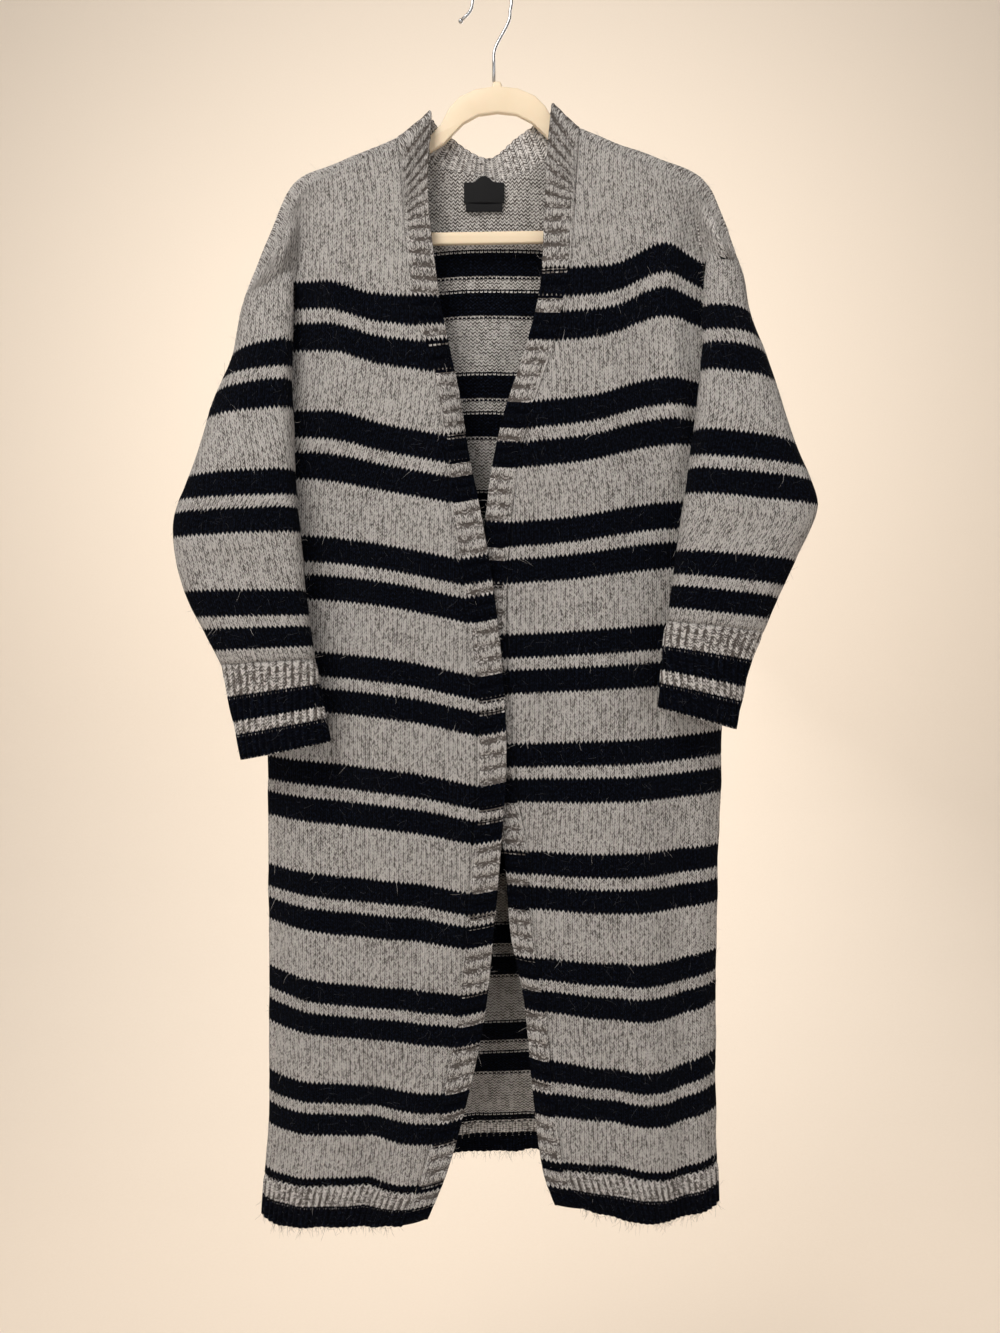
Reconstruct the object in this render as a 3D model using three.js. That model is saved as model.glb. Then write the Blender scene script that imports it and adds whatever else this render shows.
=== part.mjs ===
// A long open-front knitted cardigan hung by its shoulders on a slim hanger.
// Millimetres, +Z up, +X to the viewer's right, the garment's front towards -Y.
// The origin is the inside crest of the hanger's hook.
import * as THREE from 'three';

// Cloth
const WALL = 3;
const SEAM = 0.4;
const RIB = 1.1;
const RIB_PITCH = 6.8;
const RIDGE = 1.2;
const RIDGE_PITCH = 14;
const SIDE_ROUND = 28;
const SHOULDER_ROUND = 11;
const OVERLAP_REACH = 80;
const ARMHOLE_EASE = 3.6;

// Knitted rows, counted down from the first dark stripe
const RIB_ROW = 290;
const BACK_SPLIT = 145;
const HEM_ROW = 304;
const ROW = 3.2;
const HEM_BELOW = -1300;

// Sleeve rows, counted down from the sleeve's own first dark stripe
const CUFF_ROW = 98;
const CUFF_END = 128;

// Hanger
const HANGER_THICK = 6.4;
const HANGER_BEVEL = 1.2;
const HANGER_CENTRE = 3.7;
const HANGER_TILT = 0.0157;
const WIRE = 3.4;
const HOOK_RADIUS = 20.7;
const BALL = 5.2;

// Heights of the knitted rows at the side, outer and middle columns and at the front band
const ROWS = {
  right: [
    { row: 0, side: -321, outer: -324, middle: -335, band: -338 },
    { row: 37, side: -456, outer: -460, middle: -474, band: -485 },
    { row: 74, side: -586, outer: -590, middle: -600, band: -614 },
    { row: 111, side: -705, outer: -710, middle: -718, band: -733 },
    { row: 148, side: -817, outer: -824, middle: -832, band: -845 },
    { row: 185, side: -930, outer: -939, middle: -944, band: -954 },
    { row: 222, side: -1036, outer: -1049, middle: -1052, band: -1059 },
    { row: 259, side: -1146, outer: -1152, middle: -1154, band: -1160 },
    { row: 288, side: -1248, outer: -1248, middle: -1248, band: -1250 },
    { row: 304, side: -1298, outer: -1297, middle: -1298, band: -1288 },
  ],
  left: [
    { row: 0, side: -301, outer: -284, middle: -304, band: -309 },
    { row: 37, side: -428, outer: -416, middle: -442, band: -450 },
    { row: 74, side: -552, outer: -555, middle: -568, band: -575 },
    { row: 111, side: -675, outer: -681, middle: -687, band: -691 },
    { row: 148, side: -790, outer: -798, middle: -801, band: -803 },
    { row: 185, side: -909, outer: -914, middle: -916, band: -913 },
    { row: 222, side: -1019, outer: -1028, middle: -1027, band: -1022 },
    { row: 259, side: -1125, outer: -1139, middle: -1135, band: -1126 },
    { row: 288, side: -1235, outer: -1241, middle: -1233, band: -1228 },
    { row: 304, side: -1284, outer: -1290, middle: -1287, band: -1273 },
  ],
};

// Heights of the back's rows at its middle; at its sides it meets the fronts
const BACK_ROWS = [
  { row: 0, middle: -274 },
  { row: 74, middle: -532 },
  { row: 148, middle: -767 },
  { row: 222, middle: -998 },
  { row: 259, middle: -1105 },
  { row: 288, middle: -1205 },
  { row: 304, middle: -1247 },
];

// Free edge of each front band, its width as seen, and how far it turns in or laps over.
// Distances across are from the middle line, outwards on that side.
const BANDS = {
  right: [
    { z: -150, edge: 63, width: 36, turn: 0, lap: 0 },
    { z: -192, edge: 66, width: 38, turn: 2, lap: 0 },
    { z: -240, edge: 66, width: 37, turn: 3, lap: 0 },
    { z: -340, edge: 54, width: 31, turn: 5, lap: 0 },
    { z: -430, edge: 38, width: 20, turn: 12, lap: 0 },
    { z: -500, edge: 26, width: 22, turn: 12, lap: 2 },
    { z: -560, edge: 13, width: 29, turn: 4, lap: 9 },
    { z: -640, edge: -1, width: 31, turn: 0, lap: 10 },
    { z: -740, edge: -12, width: 30, turn: 0, lap: 10 },
    { z: -830, edge: -15, width: 30, turn: 0, lap: 10 },
    { z: -920, edge: -9, width: 30, turn: 0, lap: 9 },
    { z: -1000, edge: -2, width: 30, turn: 2, lap: 5 },
    { z: -1090, edge: 8, width: 30, turn: 4, lap: 0 },
    { z: -1170, edge: 25, width: 28, turn: 5, lap: 0 },
    { z: -1240, edge: 45, width: 27, turn: 4, lap: 0 },
    { z: -1290, edge: 66, width: 26, turn: 3, lap: 0 },
  ],
  left: [
    { z: -136, edge: 62, width: 30, turn: 0, lap: 0 },
    { z: -192, edge: 57, width: 33, turn: 2, lap: 0 },
    { z: -240, edge: 55, width: 32, turn: 3, lap: 0 },
    { z: -330, edge: 50, width: 30, turn: 4, lap: 0 },
    { z: -396, edge: 34, width: 29, turn: 4, lap: 0 },
    { z: -468, edge: 11, width: 27, turn: 4, lap: 0 },
    { z: -547, edge: -4, width: 27, turn: 2, lap: 0 },
    { z: -654, edge: -12, width: 28, turn: 0, lap: 0 },
    { z: -757, edge: -10, width: 28, turn: 0, lap: 0 },
    { z: -860, edge: 0, width: 28, turn: 0, lap: 0 },
    { z: -920, edge: 13, width: 26, turn: 2, lap: 0 },
    { z: -1000, edge: 20, width: 24, turn: 7, lap: 0 },
    { z: -1069, edge: 34, width: 22, turn: 9, lap: 0 },
    { z: -1163, edge: 43, width: 22, turn: 9, lap: 0 },
    { z: -1240, edge: 53, width: 24, turn: 6, lap: 0 },
    { z: -1279, edge: 67, width: 25, turn: 3, lap: 0 },
  ],
};

// Armhole edge, then the side of the body below the underarm
const SIDES = {
  right: [
    { z: -200, across: 206 },
    { z: -321, across: 206 },
    { z: -430, across: 212 },
    { z: -545, across: 232 },
    { z: -1190, across: 233 },
    { z: -1254, across: 237 },
    { z: -1300, across: 240 },
  ],
  left: [
    { z: -200, across: 222 },
    { z: -301, across: 222 },
    { z: -430, across: 226 },
    { z: -540, across: 240 },
    { z: -832, across: 240 },
    { z: -937, across: 236 },
    { z: -1190, across: 234 },
    { z: -1300, across: 237 },
  ],
};
const UNDERARM = { right: -545, left: -540 };

// Along the shoulder from the neck to the armhole: the first dark row, the seam and the crest.
// Stations 3 to 5 are the part that drops past the hanger's tip.
const SHOULDERS = {
  right: [
    { at: 0, rowX: 85, rowZ: -338, seamX: 98.4, seamZ: -174, crestX: 99, crestZ: -162 },
    { at: 1, rowX: 125, rowZ: -333, seamX: 136, seamZ: -191, crestX: 133, crestZ: -177 },
    { at: 2, rowX: 166, rowZ: -326, seamX: 170, seamZ: -206, crestX: 168, crestZ: -191 },
    { at: 3, rowX: 206, rowZ: -321, seamX: 200, seamZ: -230, crestX: 209, crestZ: -211 },
    { at: 4, rowX: 232, rowZ: -332, seamX: 220, seamZ: -276, crestX: 234, crestZ: -262 },
    { at: 5, rowX: 252, rowZ: -342, seamX: 248, seamZ: -333, crestX: 262, crestZ: -333 },
  ],
  left: [
    { at: 0, rowX: 80, rowZ: -309, seamX: 91.4, seamZ: -166, crestX: 92, crestZ: -153 },
    { at: 1, rowX: 127, rowZ: -303, seamX: 133, seamZ: -183, crestX: 130, crestZ: -168 },
    { at: 2, rowX: 175, rowZ: -289, seamX: 176, seamZ: -202, crestX: 174, crestZ: -184 },
    { at: 3, rowX: 222, rowZ: -301, seamX: 214, seamZ: -225, crestX: 222, crestZ: -206 },
    { at: 4, rowX: 240, rowZ: -303, seamX: 232, seamZ: -256, crestX: 244, crestZ: -245 },
    { at: 5, rowX: 252, rowZ: -308, seamX: 250, seamZ: -299, crestX: 264, crestZ: -301 },
  ],
};

// Seam and top of the back neck band, from the right shoulder to the left
const NECK = [
  { at: -1, seamX: -99, seamZ: -162, topX: -63, topZ: -141, back: 0 },
  { at: -0.93, seamX: -93, seamZ: -166, topX: -61, topZ: -143, back: 8 },
  { at: -0.8, seamX: -82, seamZ: -174, topX: -55, topZ: -148, back: 10.5 },
  { at: -0.6, seamX: -62, seamZ: -184, topX: -44, topZ: -156, back: 12 },
  { at: -0.35, seamX: -36, seamZ: -193, topX: -28, topZ: -168, back: 13 },
  { at: -0.1, seamX: -10, seamZ: -198, topX: -10, topZ: -177, back: 13 },
  { at: 0.1, seamX: 8, seamZ: -201, topX: 3, topZ: -176, back: 13 },
  { at: 0.4, seamX: 36, seamZ: -193, topX: 24, topZ: -158, back: 13 },
  { at: 0.7, seamX: 60, seamZ: -179, topX: 44, topZ: -144, back: 12 },
  { at: 0.85, seamX: 76, seamZ: -167, topX: 54, topZ: -139, back: 11 },
  { at: 0.93, seamX: 86, seamZ: -158, topX: 60, topZ: -135, back: 9 },
  { at: 1, seamX: 92, seamZ: -153, topX: 63, topZ: -133, back: 0 },
];

// How far the front and the back stand from the middle plane
const DEPTHS = [
  { z: -150, front: 11, back: 11 },
  { z: -200, front: 12, back: 12 },
  { z: -300, front: 19, back: 18 },
  { z: -450, front: 26, back: 21 },
  { z: -700, front: 29, back: 24 },
  { z: -1000, front: 34, back: 27 },
  { z: -1300, front: 41, back: 30 },
];

// Largest folds of the fronts: a line from top to foot, its half width and its rise
const FOLDS = {
  right: [
    { topX: 178, topZ: -215, footX: 150, footZ: -520, width: 22, rise: 7 },
    { topX: 120, topZ: -520, footX: 88, footZ: -1320, width: 30, rise: 8 },
    { topX: 190, topZ: -760, footX: 196, footZ: -1320, width: 24, rise: 6 },
    { topX: 60, topZ: -900, footX: 140, footZ: -1320, width: 18, rise: -5 },
  ],
  left: [
    { topX: 188, topZ: -200, footX: 196, footZ: -560, width: 18, rise: 9 },
    { topX: 120, topZ: -420, footX: 100, footZ: -1320, width: 28, rise: 5 },
    { topX: 150, topZ: -760, footX: 158, footZ: -1320, width: 26, rise: 9 },
    { topX: 200, topZ: -820, footX: 206, footZ: -1320, width: 16, rise: -4 },
  ],
};

// Largest folds of the back
const BACK_FOLDS = [
  { topX: -150, topZ: -220, footX: -120, footZ: -1320, width: 34, rise: 7 },
  { topX: -30, topZ: -420, footX: -44, footZ: -1320, width: 38, rise: -6 },
  { topX: 70, topZ: -300, footX: 86, footZ: -1320, width: 32, rise: 8 },
  { topX: 176, topZ: -240, footX: 168, footZ: -1320, width: 28, rise: 6 },
];

// Sleeves: outer and inner fold by row, and how far forward the two layers lie
const SLEEVES = {
  right: [
    { row: -15, outX: 263, outZ: -346, inX: 206, inZ: -325, front: -34, back: 15 },
    { row: 0, outX: 272, outZ: -402, inX: 205, inZ: -388, front: -44, back: 8 },
    { row: 12, outX: 286, outZ: -442, inX: 205, inZ: -430, front: -50, back: 0 },
    { row: 37, outX: 309, outZ: -526, inX: 201, inZ: -519, front: -60, back: -16 },
    { row: 49, outX: 321, outZ: -564, inX: 197, inZ: -558, front: -66, back: -29 },
    { row: 56, outX: 323, outZ: -586, inX: 194, inZ: -580, front: -68, back: -31 },
    { row: 74, outX: 312, outZ: -643, inX: 188, inZ: -642, front: -69, back: -33 },
    { row: 86, outX: 293, outZ: -683, inX: 183, inZ: -680, front: -69, back: -34 },
    { row: 98, outX: 274, outZ: -720, inX: 178, inZ: -714, front: -67, back: -35 },
    { row: 108, outX: 266, outZ: -753, inX: 174, inZ: -740, front: -66, back: -36 },
    { row: 128, outX: 252, outZ: -816, inX: 163, inZ: -798, front: -67, back: -37 },
  ],
  left: [
    { row: -15, outX: 265, outZ: -312, inX: 222, inZ: -304, front: -32, back: 15 },
    { row: 0, outX: 272, outZ: -360, inX: 218, inZ: -352, front: -42, back: 9 },
    { row: 12, outX: 286, outZ: -402, inX: 217, inZ: -392, front: -49, back: 3 },
    { row: 37, outX: 312, outZ: -494, inX: 207, inZ: -480, front: -60, back: -12 },
    { row: 49, outX: 325, outZ: -533, inX: 200, inZ: -520, front: -65, back: -24 },
    { row: 58, outX: 330, outZ: -562, inX: 195, inZ: -550, front: -68, back: -30 },
    { row: 74, outX: 308, outZ: -614, inX: 187, inZ: -604, front: -69, back: -33 },
    { row: 86, outX: 290, outZ: -652, inX: 182, inZ: -640, front: -69, back: -34 },
    { row: 98, outX: 275, outZ: -687, inX: 177, inZ: -676, front: -67, back: -35 },
    { row: 108, outX: 262, outZ: -716, inX: 174, inZ: -702, front: -66, back: -36 },
    { row: 128, outX: 246, outZ: -785, inX: 169, inZ: -764, front: -67, back: -37 },
  ],
};

const COLOURS = {
  wool: new THREE.MeshStandardMaterial({ color: 0x9a948e, roughness: 0.95, metalness: 0 }),
  rib: new THREE.MeshStandardMaterial({ color: 0x1a1e2b, roughness: 0.95, metalness: 0 }),
  label: new THREE.MeshStandardMaterial({ color: 0x101012, roughness: 0.7, metalness: 0 }),
  hanger: new THREE.MeshStandardMaterial({ color: 0xf1e6bd, roughness: 0.45, metalness: 0 }),
  wire: new THREE.MeshStandardMaterial({ color: 0xc9c9cc, roughness: 0.2, metalness: 1 }),
};

const clamp = THREE.MathUtils.clamp;
const lerp = THREE.MathUtils.lerp;
const vec = (x, y, z) => new THREE.Vector3(x, y, z);
const sum = (values) => values.reduce((total, value) => total + value, 0);
const sign = (side) => (side === 'right' ? -1 : 1);

// Smooth value of one column of a table, found by another column that rises or falls steadily
function along(table, key, name, value) {
  const falling = table[0][key] > table[table.length - 1][key];
  const before = (row) => (falling ? row[key] > value : row[key] < value);
  const next = clamp(table.filter(before).length, 1, table.length - 1);
  const slope = (i) => {
    const low = table[Math.max(i - 1, 0)];
    const high = table[Math.min(i + 1, table.length - 1)];
    return (high[name] - low[name]) / (high[key] - low[key]);
  };
  const from = table[next - 1];
  const to = table[next];
  const span = to[key] - from[key];
  const s = clamp((value - from[key]) / span, 0, 1);
  const bend = s * s * (3 - 2 * s);
  return lerp(from[name], to[name], bend)
    + span * (s * (1 - s) * (1 - s) * slope(next - 1) - s * s * (1 - s) * slope(next));
}

function smooth(from, to, value) {
  return THREE.MathUtils.smoothstep(value, Math.min(from, to), Math.max(from, to)) * (from < to ? 1 : -1)
    + (from < to ? 0 : 1);
}

// Quarter-round profile: 0 at an edge, 1 from a radius inwards
function round(distance, radius) {
  const s = 1 - clamp(distance / radius, 0, 1);
  return Math.sqrt(1 - s * s);
}

function foldRise(folds, x, z) {
  return sum(folds.map((fold) => {
    const s = (z - fold.topZ) / (fold.footZ - fold.topZ);
    const line = lerp(fold.topX, fold.footX, clamp(s, 0, 1));
    const reach = (x - line) / fold.width;
    const ends = smooth(0, 0.2, s) * (fold.footZ < HEM_BELOW ? 1 : smooth(1, 0.75, s));
    return fold.rise * Math.exp(-reach * reach) * ends;
  }));
}

// A closed wall of cloth on a grid of points, which are its outer face unless it is lifted off
// them; cells outside the mask are left open
function wall(rows, columns, point, options = {}) {
  const { relief = () => 0, has = () => true, flip = false, thick = WALL, lift = 0 } = options;
  const grid = rows.map((r, i) => columns.map((c, j) => point(r, c, i, j)));
  const cell = (i, j) => i >= 0 && j >= 0 && i < rows.length - 1 && j < columns.length - 1 && has(i, j);
  const used = (i, j) => cell(i, j) || cell(i - 1, j) || cell(i, j - 1) || cell(i - 1, j - 1);
  const pick = (i, j) => (i >= 0 && j >= 0 && i < rows.length && j < columns.length && used(i, j)
    ? grid[i][j] : null);
  const step = (low, mid, high) => (high ?? mid).clone().sub(low ?? mid);
  const outer = [];
  const inner = [];
  const index = grid.map((line) => line.map(() => -1));
  grid.forEach((line, i) => line.forEach((p, j) => {
    if (!used(i, j)) return;
    const across = step(pick(i, j - 1), p, pick(i, j + 1));
    const down = step(pick(i - 1, j), p, pick(i + 1, j));
    const normal = across.cross(down).normalize().multiplyScalar(flip ? -1 : 1);
    index[i][j] = outer.length;
    outer.push(p.clone().addScaledVector(normal, lift + relief(rows[i], columns[j], i, j)));
    inner.push(p.clone().addScaledVector(normal, lift - thick));
  }));
  const shift = outer.length;
  const faces = [];
  const quad = (a, b, c, d) => faces.push(...(flip ? [a, c, b, a, d, c] : [a, b, c, a, c, d]));
  for (let i = 0; i < rows.length - 1; i += 1) {
    for (let j = 0; j < columns.length - 1; j += 1) {
      if (!cell(i, j)) continue;
      const [a, b, c, d] = [index[i][j], index[i][j + 1], index[i + 1][j + 1], index[i + 1][j]];
      quad(a, b, c, d);
      quad(a + shift, d + shift, c + shift, b + shift);
      if (!cell(i - 1, j)) quad(b, a, a + shift, b + shift);
      if (!cell(i + 1, j)) quad(d, c, c + shift, d + shift);
      if (!cell(i, j - 1)) quad(a, d, d + shift, a + shift);
      if (!cell(i, j + 1)) quad(c, b, b + shift, c + shift);
    }
  }
  const geometry = new THREE.BufferGeometry();
  const positions = outer.concat(inner).flatMap((p) => [p.x, p.y, p.z]);
  geometry.setAttribute('position', new THREE.Float32BufferAttribute(positions, 3));
  geometry.setIndex(faces);
  geometry.computeVertexNormals();
  return geometry;
}

// Even stations along a curve given by a function of one number
function stations(curve, from, to, count) {
  const fine = Array.from({ length: 400 }, (_, i) => lerp(from, to, i / 399));
  const points = fine.map(curve);
  const lengths = [0];
  for (let i = 1; i < fine.length; i += 1) {
    lengths.push(lengths[i - 1] + points[i].distanceTo(points[i - 1]));
  }
  const whole = lengths[lengths.length - 1];
  return Array.from({ length: count + 1 }, (_, k) => {
    const goal = (whole * k) / count;
    const i = clamp(lengths.findIndex((length) => length >= goal), 1, fine.length - 1);
    const s = (goal - lengths[i - 1]) / (lengths[i] - lengths[i - 1]);
    return lerp(fine[i - 1], fine[i], clamp(s, 0, 1));
  });
}

function ribCount(curve, from, to, pitch) {
  const line = stations(curve, from, to, 60).map(curve);
  const length = sum(line.slice(1).map((p, i) => p.distanceTo(line[i])));
  return 2 * Math.round(length / pitch);
}

// Height of a row at a station from the band (0) to the side (3)
function rowHeight(side, row, at) {
  const columns = [
    { at: 0, z: along(ROWS[side], 'row', 'band', row) },
    { at: 1, z: along(ROWS[side], 'row', 'middle', row) },
    { at: 2, z: along(ROWS[side], 'row', 'outer', row) },
    { at: 3, z: along(ROWS[side], 'row', 'side', row) },
  ];
  return along(columns, 'at', 'z', at);
}

// The front stands less proud at its sides, where the sleeves lie on it
function frontY(side, across, z) {
  const reach = along(SIDES[side], 'z', 'across', z);
  const open = smooth(UNDERARM[side] + 10, UNDERARM[side] + 110, z) * 0.85;
  const edge = round(reach - across, SIDE_ROUND);
  const crown = 1 - 0.48 * Math.abs(across / reach) ** 2;
  const lapped = along(BANDS[side], 'z', 'lap', z);
  const bandSeam = along(BANDS[side], 'z', 'edge', z) + along(BANDS[side], 'z', 'width', z);
  const lap = lapped * smooth(bandSeam + OVERLAP_REACH, bandSeam, across);
  const calm = smooth(0, SIDE_ROUND * 1.6, reach - across);
  const depth = along(DEPTHS, 'z', 'front', z) * crown;
  return -SEAM * 0.7 - (depth * (open + (1 - open) * edge)) - lap - calm * foldRise(FOLDS[side], across, z);
}

function frontPoint(side, row, at) {
  const z = rowHeight(side, row, at);
  const bandSeam = along(BANDS[side], 'z', 'edge', z) + along(BANDS[side], 'z', 'width', z);
  const across = lerp(bandSeam, along(SIDES[side], 'z', 'across', z), at / 3);
  return vec(sign(side) * across, frontY(side, across, z), z);
}

// First dark row of the front, on into the dropped shoulder
function firstRow(side, at) {
  if (at <= 3) return frontPoint(side, 0, at);
  const start = frontPoint(side, 0, 3);
  const across = along(SHOULDERS[side], 'at', 'rowX', at);
  const z = along(SHOULDERS[side], 'at', 'rowZ', at);
  const bulge = Math.sin(Math.PI * clamp((at - 3) / 2.1, 0, 1));
  return vec(sign(side) * across, lerp(start.y, -13, (at - 3) / 2) - 19 * bulge, z);
}

function shoulderSeam(side, at) {
  const across = along(SHOULDERS[side], 'at', 'seamX', at);
  const z = along(SHOULDERS[side], 'at', 'seamZ', at);
  return vec(sign(side) * across, -SHOULDER_ROUND, z);
}

// Yoke of the front: rise 0 is the first dark row, 1 the shoulder seam
function yokePoint(side, rise, at) {
  const low = firstRow(side, at);
  const high = shoulderSeam(side, at);
  const p = low.clone().lerp(high, rise);
  const groove = Math.exp(-(((at - 3) / 0.35) ** 2)) * 6;
  const drop = smooth(3, 3.6, at) * 12;
  p.y = lerp(low.y, high.y, smooth(0, 1, rise)) + (groove - drop) * Math.sin(Math.PI * rise);
  return p;
}

const MAIN = [0, 0.5, 1, 1.5, 2, 2.35, 2.6, 2.8, 2.94, 3];
const DROPPED = [3.4, 3.8, 4.2, 4.6, 5];
const YOKE = [0.3, 0.6, 0.82, 1];
const GAP = SEAM / ROW;
const BODY_STEPS = 16;

function bodyRows(count) {
  return Array.from({ length: count + 1 }, (_, i) => RIB_ROW - GAP - (i * (RIB_ROW - GAP)) / count);
}

function front(side) {
  const body = bodyRows(BODY_STEPS).map((row) => ({ row }));
  const rows = body.concat(YOKE.map((rise) => ({ rise: rise === 1 ? 1 - SEAM / 150 : rise })));
  const columns = MAIN.map((at) => Math.max(at, SEAM / 50)).concat(DROPPED);
  const place = (r, at) => {
    if (r.rise !== undefined) return yokePoint(side, r.rise, at);
    return at > 3 ? firstRow(side, at) : frontPoint(side, r.row, at);
  };
  const has = (i, j) => i >= body.length - 1 || j < MAIN.length - 1;
  return wall(rows, columns, place, { has, flip: side === 'right', lift: WALL });
}

function frontHem(side) {
  const curve = (at) => frontPoint(side, RIB_ROW, at);
  const count = ribCount(curve, 0, 3, RIB_PITCH);
  const columns = stations(curve, SEAM / 50, 3, count);
  const relief = (row, at, i, j) => (j % 2 ? RIB : 0);
  const place = (row, at) => frontPoint(side, row, at);
  return wall([HEM_ROW, RIB_ROW], columns, place, { relief, flip: side === 'right', lift: WALL });
}

// The front's edge beside the band, straight from one row of its wall to the next
function frontEdge(side, down) {
  const rows = [HEM_ROW, ...bodyRows(BODY_STEPS)];
  const next = clamp(rows.findIndex((row) => row <= down), 1, rows.length - 1);
  const s = (down - rows[next]) / (rows[next - 1] - rows[next]);
  return frontPoint(side, rows[next], 0).lerp(frontPoint(side, rows[next - 1], 0), clamp(s, 0, 1));
}

// Front band: the edge beside the front, and the free edge that turns in or laps over
function bandPoint(side, down, free) {
  const onBody = down >= 0;
  const seam = onBody ? frontEdge(side, down) : yokeBand(side, -down);
  if (!free) return vec(seam.x - sign(side) * SEAM, seam.y, seam.z);
  const z = onBody ? seam.z : lerp(seam.z, along(NECK, 'at', 'topZ', sign(side)), smooth(0.35, 1, -down));
  const across = along(BANDS[side], 'z', 'edge', z);
  const turn = along(BANDS[side], 'z', 'turn', z);
  return vec(sign(side) * across, seam.y + turn * (onBody ? 1 : 1 + down), z);
}

// Above the first dark row the band runs on to the crest of the shoulder
function yokeBand(side, rise) {
  const low = firstRow(side, 0);
  const crest = SHOULDERS[side][0];
  const z = lerp(low.z, crest.crestZ, rise);
  const across = lerp(Math.abs(low.x), crest.crestX, rise);
  const cap = round(crest.crestZ - z, SHOULDER_ROUND);
  const y = lerp(low.y, -SHOULDER_ROUND, smooth(0, 0.9, rise)) * cap;
  return vec(sign(side) * across, Math.min(y, -SEAM), z);
}

function frontBand(side) {
  const scaled = (s) => (s > 0 ? s * HEM_ROW : s);
  const curve = (s) => bandPoint(side, scaled(s), true);
  const count = ribCount(curve, 1, -1, RIDGE_PITCH);
  const rows = stations(curve, 1, -1 + SEAM / 20, count).map(scaled);
  const relief = (down, free, i) => (i % 2 ? RIDGE : 0);
  const place = (down, free) => bandPoint(side, down, free);
  return wall(rows, [1, 0], place, { relief, flip: side === 'right', lift: WALL });
}

// Back: stations run from -3 at the right side to 3 at the left, the neck between
const NECK_AT = 1.3;

function backSide(station) {
  return station < 0 ? 'right' : 'left';
}

function backHeight(row, station) {
  const sideHeight = rowHeight(backSide(station), row, 3);
  const middle = along(BACK_ROWS, 'row', 'middle', row);
  return lerp(middle, sideHeight, (Math.abs(station) / 3) ** 2.2);
}

function backY(x, z) {
  const side = backSide(x);
  const reach = along(SIDES[side], 'z', 'across', z);
  const across = Math.abs(x);
  const open = smooth(UNDERARM[side] + 10, UNDERARM[side] + 110, z) * 0.85;
  const edge = round(reach - across, SIDE_ROUND);
  const calm = smooth(0, SIDE_ROUND * 1.6, reach - across);
  const depth = along(DEPTHS, 'z', 'back', z) * (1 - 0.2 * (across / reach) ** 2.5);
  return SEAM * 0.7 + depth * (open + (1 - open) * edge) + calm * foldRise(BACK_FOLDS, x, z);
}

function backPoint(row, station) {
  const z = backHeight(row, station);
  const side = backSide(station);
  const x = (station / 3) * along(SIDES[side], 'z', 'across', z);
  return vec(x, backY(x, z), z);
}

function backFirstRow(station) {
  if (Math.abs(station) <= 3) return backPoint(0, station);
  const side = backSide(station);
  const at = Math.abs(station);
  const start = backPoint(0, 3 * Math.sign(station));
  const across = along(SHOULDERS[side], 'at', 'rowX', at);
  const z = along(SHOULDERS[side], 'at', 'rowZ', at);
  return vec(sign(side) * across, lerp(start.y, 12, (at - 3) / 2), z);
}

// Rise 0 to 1 goes up the back to the crest or the neck seam, 1 to 2 over it to the front seam
function backYoke(rise, station) {
  const low = backFirstRow(station);
  const at = Math.abs(station);
  if (at < NECK_AT) {
    const across = station / NECK_AT;
    const high = vec(along(NECK, 'at', 'seamX', across), 0, along(NECK, 'at', 'seamZ', across));
    const p = low.clone().lerp(high, Math.min(rise, 1) * (1 - SEAM / 90));
    p.y = lerp(low.y, along(NECK, 'at', 'back', across), Math.min(rise, 1));
    return p;
  }
  const side = backSide(station);
  const shoulderAt = at <= 3 ? (3 * (at - NECK_AT)) / (3 - NECK_AT) : at;
  const crestX = sign(side) * along(SHOULDERS[side], 'at', 'crestX', shoulderAt);
  const crest = vec(crestX, 0, along(SHOULDERS[side], 'at', 'crestZ', shoulderAt));
  const seam = shoulderSeam(side, shoulderAt);
  const flatCrest = Math.hypot(crest.x - low.x, crest.z - low.z);
  if (rise <= 1) {
    const p = low.clone().lerp(crest, rise);
    const left = flatCrest * (1 - rise);
    p.y = lerp(low.y, SHOULDER_ROUND, smooth(0, 0.85, rise)) * round(left, SHOULDER_ROUND);
    return p;
  }
  const p = crest.clone().lerp(seam, rise - 1);
  const past = Math.hypot(p.x - crest.x, p.z - crest.z);
  p.y = -SHOULDER_ROUND * round(past, SHOULDER_ROUND);
  return p;
}

const HALF = [NECK_AT, 1.6, 1.9, 2.2, 2.5, 2.75, 2.93, 3];
const NECK_STATIONS = [-1.05, -0.8, -0.5, -0.17, 0.17, 0.5, 0.8, 1.05];
const mirrored = (values) => values.map((value) => -value).reverse();

// Upper part of the back, over the crest of the shoulders to their forward seams
function backShoulders() {
  const climb = [0.3, 0.6, 0.82, 0.93, 0.975, 0.993, 1];
  const wrap = [1.06, 1.22, 1.55, 2];
  const rows = [{ row: 0 }, ...climb.concat(wrap).map((rise) => ({ rise }))];
  const columns = [...mirrored(DROPPED), ...mirrored(HALF), ...NECK_STATIONS, ...HALF, ...DROPPED];
  const place = (r, station) => (r.rise === undefined ? backFirstRow(station) : backYoke(r.rise, station));
  const has = (i, j) => i < climb.length
    || Math.min(Math.abs(columns[j]), Math.abs(columns[j + 1])) >= NECK_AT;
  return wall(rows, columns, place, { has, flip: true });
}

// A stretch of the back between two rows
function backStretch(low, high) {
  const rows = Array.from({ length: BODY_STEPS / 2 + 1 }, (_, i) => lerp(low, high, (2 * i) / BODY_STEPS));
  const columns = [...mirrored(HALF), ...NECK_STATIONS, ...HALF];
  return wall(rows, columns, backPoint, { flip: true });
}

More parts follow.
